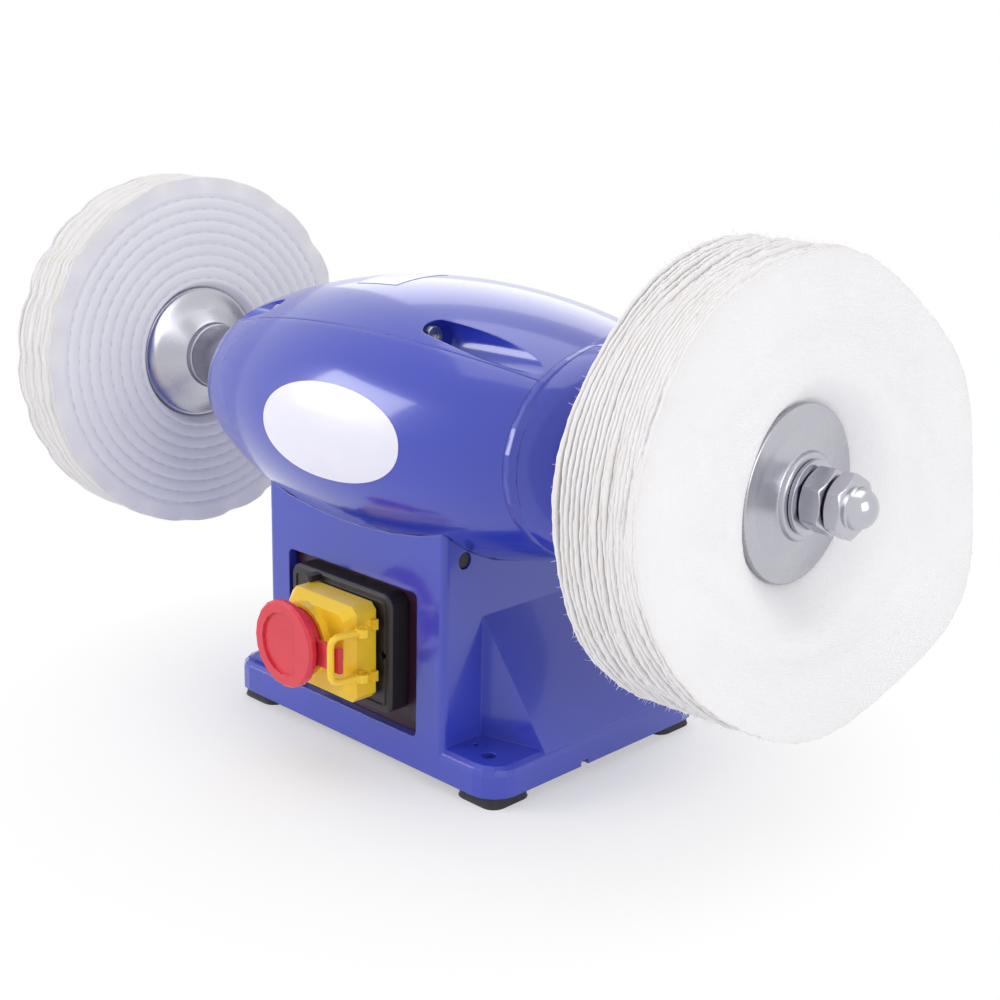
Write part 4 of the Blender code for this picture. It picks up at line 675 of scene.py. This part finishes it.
def make_stitched_buff():
    """One sewn body: quilted rings on both faces, and the cut plies showing round the rim."""
    inner_face, outer_face = -0.2030, -0.2400
    pitch = (LAST_ROW - FIRST_ROW) / (STITCH_ROWS - 1)
    plies = 13
    steps = 264
    sides = ((1, inner_face, LEFT_INNER - GAP, 21), (-1, outer_face, LEFT_OUTER + GAP, 22))

    def crown(radius):
        """How far the cloth sinks at a radius, from 0 on a crown to 1 on a row of stitches."""
        if radius < FIRST_ROW - pitch / 2 or radius > LAST_ROW + pitch / 2:
            return 0.0
        along = ((radius - FIRST_ROW) / pitch) % 1.0
        return math.exp(-((min(along, 1 - along) / 0.17) ** 2))

    face_radii = [0.0090, 0.020, 0.0345, 0.0372, 0.0390]
    face_radii += list(np.linspace(0.0403, LAST_ROW + pitch * 0.5, 62))
    face_radii += list(np.linspace(LAST_ROW + pitch * 0.62, BUFF_R - 0.0012, 6))
    rows = []
    for k in range(steps):
        turn = 2 * math.pi * k / steps
        profile = []
        ripple = waves(turn, 11, 7, 3, 12)
        for way, level, clamp, seed in sides:
            half = []
            for radius in face_radii:
                if radius < 0.038:
                    x = clamp
                else:
                    rise = min(1.0, (radius - 0.037) / 0.0045)
                    x = clamp + (level - clamp) * math.sin(math.pi / 2 * rise)
                    x -= way * QUILT_DEPTH * crown(radius)
                    out = max(0.0, (radius - 0.045) / 0.055)
                    x += way * 0.0007 * waves(turn + radius * 40, seed, 6, 3, 14) * out - way * CLOTH_SET_BACK
                    loose = max(0.0, (radius - LAST_ROW - 0.002) / 0.010)
                    pucker = 0.5 + 0.5 * math.sin(21 * turn + 2.2 * waves(turn, 31 + seed, 5, 2, 7))
                    x -= way * 0.0034 * min(1.0, loose) ** 1.3 * pucker ** 3
                half.append((x, radius))
            if way == 1:
                profile += half
                top = half[-1][0]
            else:
                bottom = half[-1][0]
                rim = []
                for ply in range(plies):
                    a, b = ply / plies, (ply + 1) / plies
                    reach = BUFF_R - 0.0011 - 0.0013 * waves(turn, 50 + ply, 6, 3, 17)
                    reach -= 0.0016 * (0.5 + 0.5 * math.sin(2.1 * ply + 3 * ripple))
                    reach = min(reach, BUFF_R + 0.0006)
                    depth = 0.0030 + 0.0012 * waves(turn, 80 + ply, 4, 2, 9)
                    ply_edge = ((0.06, depth), (0.22, 0.0006), (0.5, 0), (0.78, 0.0006), (0.94, depth))
                    for share, short in ply_edge:
                        at = a + (b - a) * share
                        rim.append((top + (bottom - top) * at, reach - short))
                profile += rim
                profile += half[::-1]
        rows.append([polar(x, r, turn) for x, r in profile])
    body = piece("stitched_buff_cloth", [p for row in rows for p in row], grid_faces(steps, len(rows[0])),
                 COTTON_SEWN, "spindle", slot="stitched_cotton", replaces=("stitched_buff",), angle=70)

    points, faces = [], []
    for way, level in ((1, inner_face), (-1, outer_face)):
        for row in range(STITCH_ROWS):
            radius = FIRST_ROW + pitch * row
            count = int(2 * math.pi * radius / STITCH_PITCH)
            for k in range(count):
                middle = 2 * math.pi * (k + 0.5 * (row % 2)) / count
                half = STITCH_HALF / radius
                start = len(points)
                for step in range(6):
                    t = step / 5 * 2 - 1
                    turn = middle + half * t
                    lift = 0.00032 * (1 - t * t) - 0.00012
                    x = level - way * (QUILT_DEPTH + CLOTH_SET_BACK) + way * lift
                    width = THREAD_HALF * math.sqrt(max(1 - t * t, 0.04))
                    for corner in range(4):
                        a = math.pi / 4 + math.pi / 2 * corner
                        r = radius + width * math.cos(a)
                        points.append(polar(x + width * math.sin(a), r, turn))
                for step in range(5):
                    a = start + step * 4
                    for corner in range(4):
                        n = (corner + 1) % 4
                        faces.append((a + corner, a + n, a + 4 + n, a + 4 + corner))
                faces.append((start, start + 1, start + 2, start + 3))
                faces.append((start + 20, start + 23, start + 22, start + 21))
    piece("stitched_buff_thread", points, faces, THREAD, "spindle", slot="stitched_cotton", angle=60)

    draw = random.Random(5)
    roots = []
    for _ in range(420):
        turn = draw.uniform(0, 2 * math.pi)
        x = draw.uniform(outer_face + 0.002, inner_face - 0.002)
        r = BUFF_R - draw.uniform(0.0012, 0.0030)
        out = Vector((draw.uniform(-0.5, 0.5), math.cos(turn), math.sin(turn))).normalized()
        roots.append((Vector(polar(x, r, turn)), out, draw.uniform(0.0012, 0.0032),
                      draw.uniform(0.00006, 0.00011)))
    strands("stitched_buff_fray", roots, COTTON_SEWN, "spindle", "stitched_cotton", 6)


LOOSE_PLIES, PLY_HALF, CLAMP_EDGE, CLAMP_R = 20, 0.00072, 0.0009, 0.0373
FIRST_PLY_RIM, LAST_PLY_RIM = 0.1560, 0.2090


def loose_x(radius, turn, share):
    """Place along the shaft of a loose ply, from 0 at the motor side to 1 at the outside."""
    room = RIGHT_OUTER - RIGHT_INNER - 2 * GAP - 2 * CLAMP_EDGE
    clamp = RIGHT_INNER + GAP + CLAMP_EDGE + room * share
    rim = FIRST_PLY_RIM + (LAST_PLY_RIM - FIRST_PLY_RIM) * share
    out = max(0.0, (radius - CLAMP_R) / (BUFF_R - CLAMP_R))
    puff = math.sin(math.pi / 2 * min(1.0, out / 0.30)) if out else 0.0
    x = clamp + (rim - clamp) * puff
    x += share ** 1.6 * out ** 1.3 * (0.0145 * math.cos(turn) - 0.0105 * math.sin(turn))
    x += 0.0028 * out ** 1.4 * waves(turn + 0.5 * share, 41, 5, 2, 6)
    x += 0.0010 * out * waves(turn + 9 * radius + 1.4 * share, 42, 5, 3, 9)
    x += 0.0070 * share ** 2 * out * waves(turn + 6 * radius, 77, 4, 2, 5)
    pleat = math.exp(-((out - 0.46) / 0.17) ** 2) * share ** 2
    x += 0.0016 * pleat * math.sin(7 * turn + 3 * math.sin(2 * turn) + 22 * out)
    return x


def make_loose_buff():
    """Separate plies of sheeting, clamped at the hub and fanned out at the rim."""
    steps = 216
    radii = [0.0090, 0.022, 0.0355, CLAMP_R, 0.0385, 0.0400, 0.0420, 0.0445, 0.048, 0.052, 0.0565, 0.061,
             0.0655, 0.070, 0.0745, 0.079, 0.083, 0.087, 0.0905, 0.0935, 0.0960, 0.0980, 0.0993, 0.1]
    draw = random.Random(3)
    roots = []
    for ply in range(LOOSE_PLIES):
        share = ply / (LOOSE_PLIES - 1)
        points = []
        for way in (1, -1):
            for index, radius in enumerate(radii):
                for k in range(steps):
                    turn = 2 * math.pi * k / steps
                    reach = 1.0
                    if index > 12:
                        edge = (index - 12) / (len(radii) - 13)
                        own, shared = waves(turn, 200 + ply, 6, 2, 9), waves(turn, 300, 5, 3, 9)
                        short = 0.0022 + 0.0024 * own + 0.0034 * shared
                        fine = 0.0004 * math.sin(61 * turn + ply) * math.sin(23 * turn + 2 * ply)
                        reach = 1 - max(short + fine, 0.0) * edge ** 2 / radius
                    r = radius * reach * (1 - 0.008 * share * radius / BUFF_R)
                    thick = PLY_HALF * (0.45 if index == len(radii) - 1 else 1.0)
                    points.append(polar(loose_x(radius, turn, share) + way * thick, r, turn))
        rows = len(radii)
        near = grid_faces(rows, steps, False)
        far = grid_faces(rows, steps, False, rows * steps)
        faces = near + [f[::-1] for f in far]
        for k in range(steps):
            m = (k + 1) % steps
            for index in (0, rows - 1):
                a, b = index * steps, (rows + index) * steps
                faces.append((a + k, a + m, b + m, b + k))
        stands_for = f"loose_buff_ply_pack_{1 + ply * 4 // LOOSE_PLIES}"
        cloth = piece(f"loose_ply_{ply + 1:02d}", points, faces, COTTON_LOOSE, "spindle",
                      slot="loose_cotton", replaces=(stands_for,), angle=80)
        for _ in range(110):
            turn = draw.uniform(0, 2 * math.pi)
            nearest = round(turn / (2 * math.pi) * steps) % steps
            at = Vector(points[(rows - 1) * steps + nearest])
            outward = Vector((0, at.y, at.z - SHAFT_Z)).normalized()
            out = (outward + Vector((draw.uniform(-0.7, 0.7), 0, 0))).normalized()
            roots.append((at - Vector((PLY_HALF, 0, 0)) - out * 0.0005, out, draw.uniform(0.001, 0.0034),
                          draw.uniform(0.00006, 0.00012)))
    roots.append((Vector((0.2136, 0.003, 0.139)), Vector((0.05, -0.12, -1)).normalized(), 0.048, 0.00014))
    strands("loose_buff_fray", roots, COTTON_LOOSE, "spindle", "loose_cotton", 8)


make_barrel()
make_labels()
make_hardware()
make_stitched_buff()
make_loose_buff()


# Camera, at the photograph's place.
FOCAL_PIXELS, PHOTO_PIXELS, SENSOR_WIDTH = 1525.47, 1000, 36
azimuth, elevation, roll = (math.radians(a) for a in (43.95, 15.62, 1.41))
back = Vector((math.sin(azimuth) * math.cos(elevation), -math.cos(azimuth) * math.cos(elevation),
               math.sin(elevation)))
right = Vector((math.cos(azimuth), math.sin(azimuth), 0))
up = back.cross(right)
camera = bpy.data.objects.new("camera", bpy.data.cameras.new("camera"))
bpy.context.scene.collection.objects.link(camera)
camera.data.sensor_width = SENSOR_WIDTH
camera.data.lens = FOCAL_PIXELS * SENSOR_WIDTH / PHOTO_PIXELS
across = right * math.cos(roll) + up * math.sin(roll)
upward = up * math.cos(roll) - right * math.sin(roll)
stand_point = Matrix.Translation((0.5193, -0.50434, 0.3107))
camera.matrix_world = stand_point @ Matrix((across, upward, back)).transposed().to_4x4()
camera.data.clip_start, camera.data.clip_end = 0.01, 100
bpy.context.scene.camera = camera
bpy.context.scene.view_settings.view_transform = "Standard"


# Light, floor and background.
LAMP_TARGET = Vector((0.0, 0.0, 0.12))
FLOOR_R = 9


def lamp(name, place, size, share):
    """A soft square lamp; share is its part of the light that shows a colour as it is written."""
    place = Vector(place)
    data = bpy.data.lights.new(name, "AREA")
    data.shape, data.size = "SQUARE", size
    data.energy = share * math.pi ** 2 * (place - LAMP_TARGET).length_squared
    made = bpy.data.objects.new(name, data)
    made.location = place
    made.rotation_mode = "QUATERNION"
    made.rotation_quaternion = (LAMP_TARGET - place).to_track_quat("-Z", "Y")
    bpy.context.scene.collection.objects.link(made)


lamp("top_softbox", (-0.1, 0.25, 1.7), 1.5, 0.34)
lamp("front_left_softbox", (-1.3, -1.5, 0.9), 1.1, 0.45)
lamp("right_softbox", (1.9, -0.35, 0.8), 1.1, 0.30)
lamp("rear_softbox", (-1.5, 1.6, 1.15), 1.2, 0.08)

world = bpy.data.worlds.new("studio")
bpy.context.scene.world = world
world.use_nodes = True
tree = world.node_tree
tree.nodes.clear()
path = tree.nodes.new("ShaderNodeLightPath")
seen = tree.nodes.new("ShaderNodeMath")
seen.operation = "MAXIMUM"
tree.links.new(path.outputs["Is Camera Ray"], seen.inputs[0])
tree.links.new(path.outputs["Is Transmission Ray"], seen.inputs[1])
shown = tree.nodes.new("ShaderNodeMath")
shown.operation = "MAXIMUM"
tree.links.new(seen.outputs[0], shown.inputs[0])
tree.links.new(path.outputs["Is Glossy Ray"], shown.inputs[1])
strength = tree.nodes.new("ShaderNodeMapRange")
strength.inputs["To Min"].default_value = 0.46
strength.inputs["To Max"].default_value = 1.0
tree.links.new(shown.outputs[0], strength.inputs["Value"])
background = tree.nodes.new("ShaderNodeBackground")
background.inputs["Color"].default_value = (1, 1, 1, 1)
tree.links.new(strength.outputs["Result"], background.inputs["Strength"])
output = tree.nodes.new("ShaderNodeOutputWorld")
tree.links.new(background.outputs[0], output.inputs["Surface"])


def make_floor():
    """A wide pale floor that turns into the white background away from the object."""
    n = Nodes("studio_floor")
    parts = n.tree.nodes.new("ShaderNodeSeparateXYZ")
    n.link(n.place(), parts.inputs[0])
    reach = n.math("SQRT", n.math("ADD", n.math("POWER", parts.outputs["X"], 2.0),
                                  n.math("POWER", parts.outputs["Y"], 2.0)))
    n.set(Base_Color=n.mix(n.spread(n.noise(3, 2), 0.0, 1.0), (0.95, 0.95, 0.952), (0.96, 0.96, 0.962)),
          Roughness=0.85, Specular_IOR_Level=0.1)
    glow = n.tree.nodes.new("ShaderNodeEmission")
    glow.inputs["Color"].default_value = (1, 1, 1, 1)
    light_path = n.tree.nodes.new("ShaderNodeLightPath")
    seen_directly = n.math("MAXIMUM", n.math("MAXIMUM", light_path.outputs["Is Camera Ray"],
                                             light_path.outputs["Is Glossy Ray"]),
                           light_path.outputs["Is Transmission Ray"])
    factor = n.math("MULTIPLY", n.spread(reach, 0.30, 1.0, 0.08, 0.24), seen_directly, True)
    blend = n.tree.nodes.new("ShaderNodeMixShader")
    n.link(factor, blend.inputs[0])
    n.link(n.shader.outputs[0], blend.inputs[1])
    n.link(glow.outputs[0], blend.inputs[2])
    n.link(blend.outputs[0], n.tree.nodes["Material Output"].inputs["Surface"])
    mesh = bpy.data.meshes.new("floor")
    turns = [2 * math.pi * k / 64 for k in range(64)]
    ring = [(FLOOR_R * math.cos(turn), FLOOR_R * math.sin(turn), FLOOR_Z) for turn in turns]
    mesh.from_pydata(ring, [], [tuple(range(64))])
    mesh.materials.append(n.material)
    floor = bpy.data.objects.new("floor", mesh)
    bpy.context.scene.collection.objects.link(floor)


make_floor()
